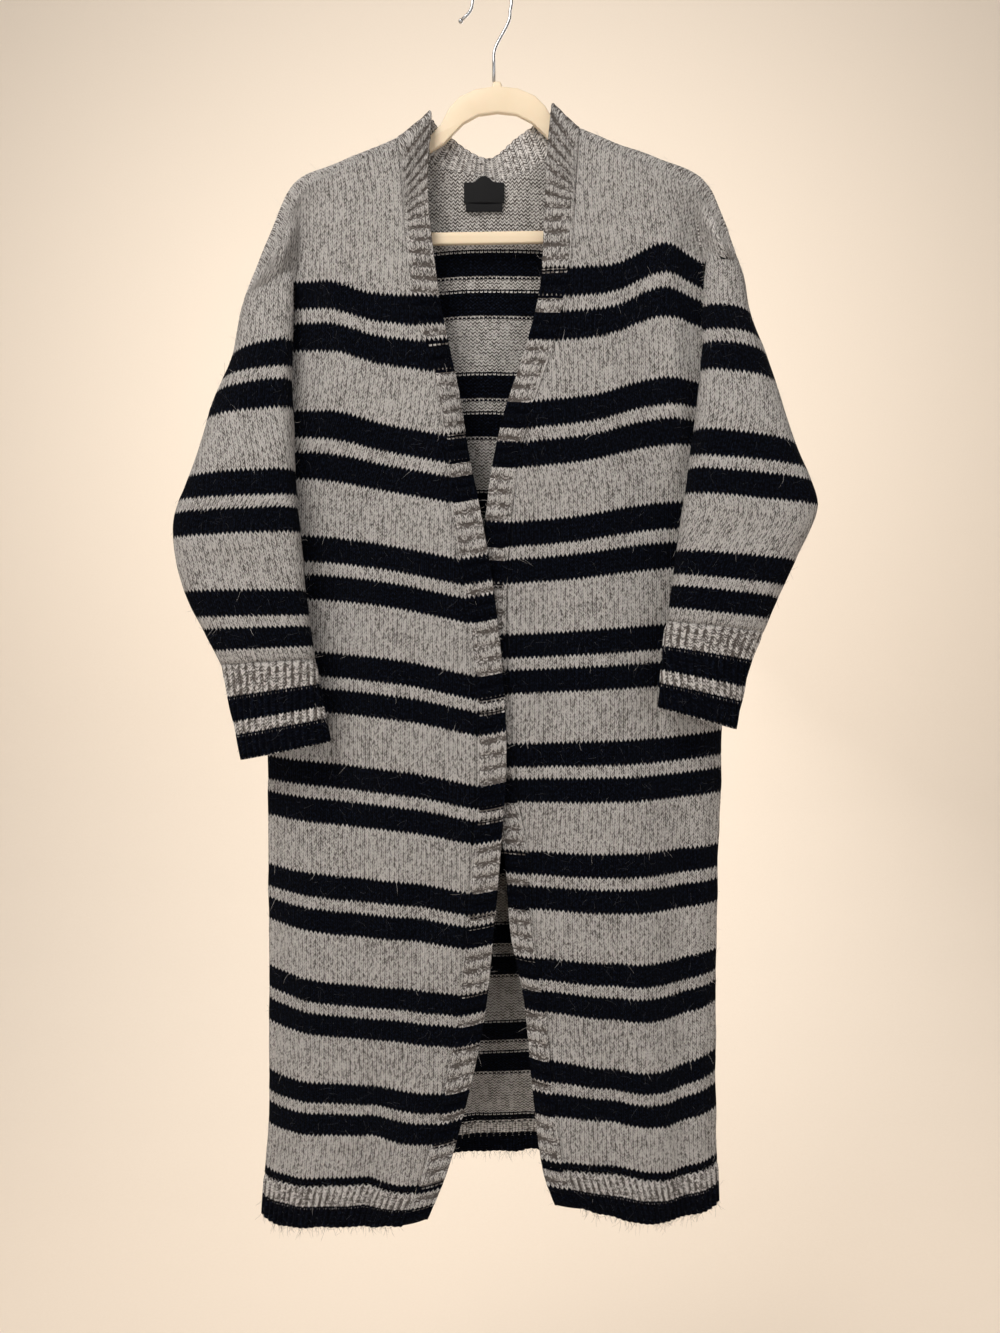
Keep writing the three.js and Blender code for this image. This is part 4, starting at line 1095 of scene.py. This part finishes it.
class CARDIGAN_OT_hems(bpy.types.Operator):
    """Make the ribbed hems of the back and the fronts"""

    bl_idname = "cardigan.hems"
    bl_label = "Ribbed hems"

    def execute(self, context):
        hems = (
            ("right_front", partial(front_point, "right"), 0, True, WALL, (0.17, 0.06)),
            ("left_front", partial(front_point, "left"), 0, False, WALL, (0.18, 0.06)),
            ("back", back_point, -SIDE_AT, True, 0, (0.50, 0.06)),
        )
        rows = steps_between(HEM_ROW, RIB_ROW, 12)
        for seed, (name, place, start, flip, lift, flat) in enumerate(hems, 41):
            length = lengths_along([place(RIB_ROW, at) for at in steps_between(start, SIDE_AT, 60)])[-1]
            steps = round(length / RIB_PITCH) * RIB_STEPS
            columns = even_values(partial(place, RIB_ROW), start, SIDE_AT, steps)
            points = [[place(row, at) for at in columns] for row in rows]
            courses = [[course_at(row)] * len(columns) for row in rows]
            sheet = Sheet(points, courses, flip=flip, wales=rib_wales(rows, len(columns), 0.5),
                          relief=lambda i, j: wave(j / RIB_STEPS, 1.9, 0.7) * smooth(12, 9, i) - 0.4,
                          furrow=lambda i, j: wave(j / RIB_STEPS + 0.5) * smooth(12, 10, i))
            shift_out(sheet, lift)
            curl_hem(sheet)
            cloth_piece(name + "_hem", sheet, flat, "wool_rib", [name + "_hem_rib"],
                        density=1.6, hem=int(length * 1.1), seed=seed)
        return {"FINISHED"}


def curl_hem(sheet):
    """The lowest rows dip and lift a little, as a worn hem does."""
    for i in range(5):
        for j, p in enumerate(sheet.points[i]):
            p.z += noise.noise(Vector((p.x / 21, i * 0.1, p.y / 60))) * 2.6 * (1 - i / 5)


class CARDIGAN_OT_bands(bpy.types.Operator):
    """Make the front bands and the back neck band, with their ridges"""

    bl_idname = "cardigan.bands"
    bl_label = "Front and neck bands"

    def execute(self, context):
        course = context.scene.cardigan_knit.course / MM
        for k, side in enumerate(ROWS):
            def place(s, share):
                return band_point(side, s * HEM_ROW if s > 0 else s, share)

            length = lengths_along([place(s, 1) for s in steps_between(1, -1, 120)])[-1]
            steps = round(length / RIDGE_PITCH) * RIDGE_STEPS
            rows = even_values(lambda s: place(s, 1), 1, -1 + SEAM / 20, steps)
            columns = [1, 0.985, 0.96, 0.92, 0.84, 0.74, 0.64, 0.54, 0.44, 0.34, 0.24, 0.15, 0.07, 0]
            points = [[place(s, share) for share in columns] for s in rows]
            base = place(0, 1)
            courses = []
            for i, s in enumerate(rows):
                above = -(points[i][0] - base).length / course
                courses.append([course_at(s * HEM_ROW) if s > 0 else above] * len(columns))

            def relief(i, j):
                fade = smooth(0, 0.15, columns[j]) * smooth(1.02, 0.95, columns[j])
                edge = 0.9 * smooth(0.93, 0.985, columns[j])
                return wave(i / RIDGE_STEPS + 0.5, 2.4, 0.4) * fade - 0.5 * fade + edge

            # Furrows between the ridges, which the knit darkens with painted shade.
            def furrow(i, j):
                return wave(i / RIDGE_STEPS, 1, 1.4) * smooth(0.03, 0.2, columns[j])

            sheet = Sheet(points, courses, flip=side == "right", relief=relief, furrow=furrow)
            shift_out(sheet, WALL)
            cloth_piece(side + "_band", sheet, (0.055, 1.24), "wool",
                        [side + "_front_band"], density=1.3, seed=51 + k)
        self.neck_band()
        return {"FINISHED"}

    def neck_band(self):
        length = lengths_along([neck_point(1, at) for at in steps_between(-1, 1, 80)])[-1]
        steps = round(length / NECK_PITCH) * RIB_STEPS
        columns = even_values(partial(neck_point, 1), -0.99, 0.99, steps)
        rows = steps_between(0, 1, 12)
        points = [[neck_point(share, at) for at in columns] for share in rows]
        courses = [[-40 - i for _ in columns] for i in range(len(rows))]
        # The seam row turns to the other side of the knit, and its high furrow paints a line of shade on
        # the outside and a line of light on the inside.
        sheet = Sheet(points, courses, flip=True, wales=rib_wales(rows, len(columns), 0),
                      relief=lambda i, j: wave(j / RIB_STEPS + 0.5, 1.6, 0.7) - 0.3,
                      furrow=lambda i, j: wave(j / RIB_STEPS) if i else 1.6)
        cloth_piece("neck_band", sheet, (0.28, 0.05), "wool", ["back_neck_band"],
                    density=1.3, seed=53)


class CARDIGAN_OT_back(bpy.types.Operator):
    """Make the back panel, which wraps over the shoulders to the forward seams"""

    bl_idname = "cardigan.back"
    bl_label = "Back"

    def execute(self, context):
        rows = steps_between(RIB_ROW, 0, ROW_STEPS)
        climb = [-(1 - (1 - s) ** 2) for s in steps_between(0, 1, YOKE_STEPS)[1:]]
        wrap = [-(1 + s * s) for s in steps_between(0, 1, 9)[1:]]
        rows += climb + wrap
        half = even_values(partial(back_point, SPACING_ROW), NECK_AT, SIDE_AT, 30)
        lobe = steps_between(SIDE_AT, LOBE_AT, LOBE_STEPS)[1:]
        neck = steps_between(-NECK_AT, NECK_AT, 44)[1:-1]
        mirrored = [-value for value in reversed(half + lobe)]
        columns = mirrored + neck + half + lobe
        points = [[back_place(row, at) for at in columns] for row in rows]
        courses = course_grid(rows, columns, back_place)
        crest = ROW_STEPS + YOKE_STEPS

        def keep(i, j):
            low, high = sorted((abs(columns[j]), abs(columns[j + 1])))
            if i < ROW_STEPS:
                return high <= SIDE_AT
            return i < crest or low >= NECK_AT - 1e-6

        sheet = Sheet(points, courses, flip=True, anchor=len(columns) // 2, keep=keep)
        ripple(points, sheet.normals, 1.0, 29)
        cloth_piece("back_panel", sheet, (0.56, 1.24), "wool",
                    ["back", "back_yoke", "back_skirt"], seed=31)
        return {"FINISHED"}


class CARDIGAN_OT_sleeves(bpy.types.Operator):
    """Make the sleeves and their ribbed cuffs"""

    bl_idname = "cardigan.sleeves"
    bl_label = "Sleeves and cuffs"

    def execute(self, context):
        for k, side in enumerate(ROWS):
            rows = steps_between(-15, CUFF_ROW, 74)
            points = [curve_through(sleeve_section(side, row), SLEEVE_STEPS) for row in rows]
            points = [self.tucked(points[0], points[2])] + points
            rows = [-18] + rows
            slip = SLEEVE_SLIP[side]
            courses = []
            for row in rows:
                course = row - slip * smooth(12, 37, row) * smooth(96, 80, row)
                courses.append([course] * (SLEEVE_STEPS + 1))
            sheet = Sheet(points, courses, flip=side == "left", anchor=SLEEVE_STEPS // 2)
            self.crease(sheet, rows)
            ripple(points, sheet.normals, 0.9, 5 + 12 * k)
            cloth_piece(side + "_sleeve_tube", sheet, (0.30, 0.44), "wool",
                        [side + "_sleeve"], seed=61 + k)
            self.cuff(side, seed=63 + k)
        return {"FINISHED"}

    @staticmethod
    def tucked(top, lower):
        """A last row above the top one, drawn in under the edge of the dropped shoulder."""
        centre = sum(top, Vector()) / len(top)
        return [p + (p - q).normalized() * 13 + (centre - p).normalized() * 2 for p, q in zip(top, lower)]

    def crease(self, sheet, rows):
        last = len(sheet.points[0]) - 1
        for i, row in enumerate(rows):
            for j, p in enumerate(sheet.points[i]):
                push = sum(c.rise * math.exp(-((row - c.row) / c.rowReach) ** 2
                                             - ((j / last - c.share) / c.shareReach) ** 2)
                           for c in SLEEVE_CREASES)
                p += sheet.normals[i][j] * push

    def cuff(self, side, seed):
        rows = steps_between(CUFF_ROW, CUFF_END, 22)
        middle = curve_through(sleeve_section(side, (CUFF_ROW + CUFF_END) / 2), 60)
        steps = round(lengths_along(middle)[-1] / CUFF_PITCH) * RIB_STEPS
        points = [curve_through(sleeve_section(side, row), steps) for row in rows]
        courses = [[row + CUFF_SKIP] * (steps + 1) for row in rows]
        sheet = Sheet(points, courses, flip=side == "left", wales=rib_wales(rows, steps + 1, 0.5),
                      relief=lambda i, j: wave(j / RIB_STEPS, 2.0, 0.7) * smooth(0, 3, i) - 0.4,
                      furrow=lambda i, j: wave(j / RIB_STEPS + 0.5) * smooth(0, 2, i))
        cloth_piece(side + "_cuff_rib", sheet, (0.26, 0.12), "wool_rib",
                    [side + "_cuff"], density=1.5, seed=seed)


class CARDIGAN_OT_labels(bpy.types.Operator):
    """Make the folded neck label and the size tab below it, both bare"""

    bl_idname = "cardigan.labels"
    bl_label = "Neck labels"

    def execute(self, context):
        self.tape("neck_label_tape", "neck_label", -30, 13, -205, -227, 5, (0.043, 0.028))
        self.tape("size_tab_tape", "size_tab", -28, 11, -226, -236, 0, (0.039, 0.012))
        return {"FINISHED"}

    def tape(self, name, node, left, right, top, foot, bow, flat):
        columns, rows = steps_between(0, 1, 40), steps_between(0, 1, 18)
        points = []
        for low in rows:
            line = []
            for s in columns:
                arch = math.sin(math.pi * clamp((s - 0.24) / 0.52)) ** 1.3
                high = top + bow * 1.3 * arch
                y = 9 - bow * 0.35 * math.sin(math.pi * s) - 0.6 * math.sin(math.pi * low)
                line.append(Vector((lerp(left, right, s), y, lerp(foot, high, low))))
            points.append(line)
        sheet = Sheet(points, [[0] * len(columns) for _ in rows])
        piece = link_object(name, loft(name, sheet), [looks()["tape"]], "label_tape", node)
        thicken(piece, 0.8, inside_slot=0)


class CARDIGAN_OT_hanger(bpy.types.Operator):
    """Finish the moulded hanger, its wire hook and the round tip"""

    bl_idname = "cardigan.hanger"
    bl_label = "Hanger"

    def execute(self, context):
        self.rounded("hanger_body", "plastic", "hanger_plastic", 1.4)
        self.rounded("hanger_hook", "wire", "hook_wire", 0)
        self.rounded("hook_ball", "wire", "hook_wire", 0)
        return {"FINISHED"}

    def rounded(self, node, look, slot, width):
        bm = bmesh.new()
        bm.from_mesh(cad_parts[node].data)
        bmesh.ops.remove_doubles(bm, verts=bm.verts, dist=0.02 * MM)
        bmesh.ops.dissolve_limit(bm, angle_limit=math.radians(1), verts=bm.verts, edges=bm.edges)
        mesh = finished_mesh(node + "_finished", bm)
        piece = link_object(node + "_finished", mesh, [looks()[look]], slot, node)
        if width:
            edge = piece.modifiers.new("Moulded edge", "BEVEL")
            edge.width, edge.segments, edge.limit_method = width * MM, 3, "ANGLE"
            edge.angle_limit = math.radians(25)
            edge.harden_normals = True


# Soft square lamps: where they stand, where they point, size in metres, watts and colour
LAMPS = table(
    "name place aim size power colour",
    ("Key", (-0.8, -1.4, 0.95), (0, 0, -0.65), 1.0, 33, (1.0, 0.96, 0.91)),
    ("Fill", (1.3, -2.2, -0.7), (0, 0, -0.8), 2.2, 15, (0.97, 0.98, 1.0)),
    ("Left fill", (-1.4, -2.0, -1.0), (0, 0, -0.9), 2.0, 14, (1.0, 0.98, 0.95)),
    ("Back light", (0.9, 1.9, 0.3), (0, 0, -0.65), 1.8, 22, (1.0, 0.97, 0.93)),
    ("Wall light", (0, 0.3, 0.3), (0, 2.4, 0.3), 2.6, 50, (1.0, 0.95, 0.88)))


class CARDIGAN_OT_stage(bpy.types.Operator):
    """Make the plain floor and backdrop, the soft lights and the camera"""

    bl_idname = "cardigan.stage"
    bl_label = "Stage"

    def execute(self, context):
        self.backdrop()
        for lamp in LAMPS:
            self.light(lamp)
        world = bpy.data.worlds.new("Soft room")
        world.use_nodes = True
        world.node_tree.nodes["Background"].inputs[0].default_value = to_linear("#F3ECE4")
        world.node_tree.nodes["Background"].inputs[1].default_value = 0.32
        context.scene.world = world
        context.scene.view_settings.view_transform = "Standard"
        lens = bpy.data.cameras.new("Camera")
        lens.sensor_width, lens.lens = 36, 28.03
        camera = bpy.data.objects.new("Camera", lens)
        camera.location = (0.0085, -1.100, -0.7219)
        camera.rotation_euler = (math.pi / 2, 0, 0)
        context.scene.collection.objects.link(camera)
        context.scene.camera = camera
        return {"FINISHED"}

    def backdrop(self):
        """Pale floor that curves up into a pale wall, far enough behind to leave the back in view."""
        bm = bmesh.new()
        bmesh.ops.create_grid(bm, x_segments=2, y_segments=40, size=0.5)
        quarter = BOARD_BEND * math.pi / 2
        for vert in bm.verts:
            way = (vert.co.y + 0.5) * (BOARD_RUN + BOARD_RISE + quarter) - BOARD_RUN
            turn = clamp(way / BOARD_BEND, 0, math.pi / 2)
            y = min(way, 0) + BOARD_BEND * (math.sin(turn) - 1)
            z = max(way - quarter, 0) + BOARD_BEND * (1 - math.cos(turn))
            vert.co = (vert.co.x * BOARD_WIDTH, WALL_AT + y, FLOOR_AT + z)
        mesh = finished_mesh("Backdrop", bm)
        material, tree = new_material("Matt painted board")
        _, mottle, tint = mottled(tree, PAINT_MOTTLE, 3.0, to_linear("#EADFD2"), "#E6DACC")
        finish_material(tree, tint, (mottle, 0.2, 0.3), Roughness=0.9)
        mesh.materials.append(material)
        board = bpy.data.objects.new("Backdrop", mesh)
        bpy.context.scene.collection.objects.link(board)

    def light(self, lamp):
        data = bpy.data.lights.new(lamp.name, "AREA")
        data.shape, data.size, data.energy, data.color = "SQUARE", lamp.size, lamp.power, lamp.colour
        light = bpy.data.objects.new(lamp.name, data)
        light.location = lamp.place
        aim = Vector(lamp.aim) - light.location
        light.rotation_euler = aim.to_track_quat("-Z", "Y").to_euler()
        light.visible_camera = False
        bpy.context.scene.collection.objects.link(light)


class CARDIGAN_PT_panel(bpy.types.Panel):
    """Lists the pieces of the cardigan"""

    bl_idname = "CARDIGAN_PT_panel"
    bl_label = "Cardigan"
    bl_space_type = "VIEW_3D"
    bl_region_type = "UI"
    bl_category = "Cardigan"

    def draw(self, context):
        for group in (context.scene.cardigan_knit, context.scene.cardigan_hanger):
            for name in group.__annotations__:
                self.layout.prop(group, name)
        for operator in OPERATORS:
            self.layout.operator(operator.bl_idname)


OPERATORS = (
    CARDIGAN_OT_stage, CARDIGAN_OT_back, CARDIGAN_OT_fronts, CARDIGAN_OT_hems, CARDIGAN_OT_bands,
    CARDIGAN_OT_sleeves, CARDIGAN_OT_labels, CARDIGAN_OT_hanger)
CLASSES = (KnitSettings, HangerSettings, *OPERATORS, CARDIGAN_PT_panel)


def register():
    for item in CLASSES:
        bpy.utils.register_class(item)
    bpy.types.Scene.cardigan_knit = PointerProperty(type=KnitSettings)
    bpy.types.Scene.cardigan_hanger = PointerProperty(type=HangerSettings)


def unregister():
    del bpy.types.Scene.cardigan_hanger
    del bpy.types.Scene.cardigan_knit
    for item in reversed(CLASSES):
        bpy.utils.unregister_class(item)


def main():
    register()
    for operator in OPERATORS:
        group, name = operator.bl_idname.split(".")
        getattr(getattr(bpy.ops, group), name)()
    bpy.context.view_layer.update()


if __name__ == "__main__":
    main()
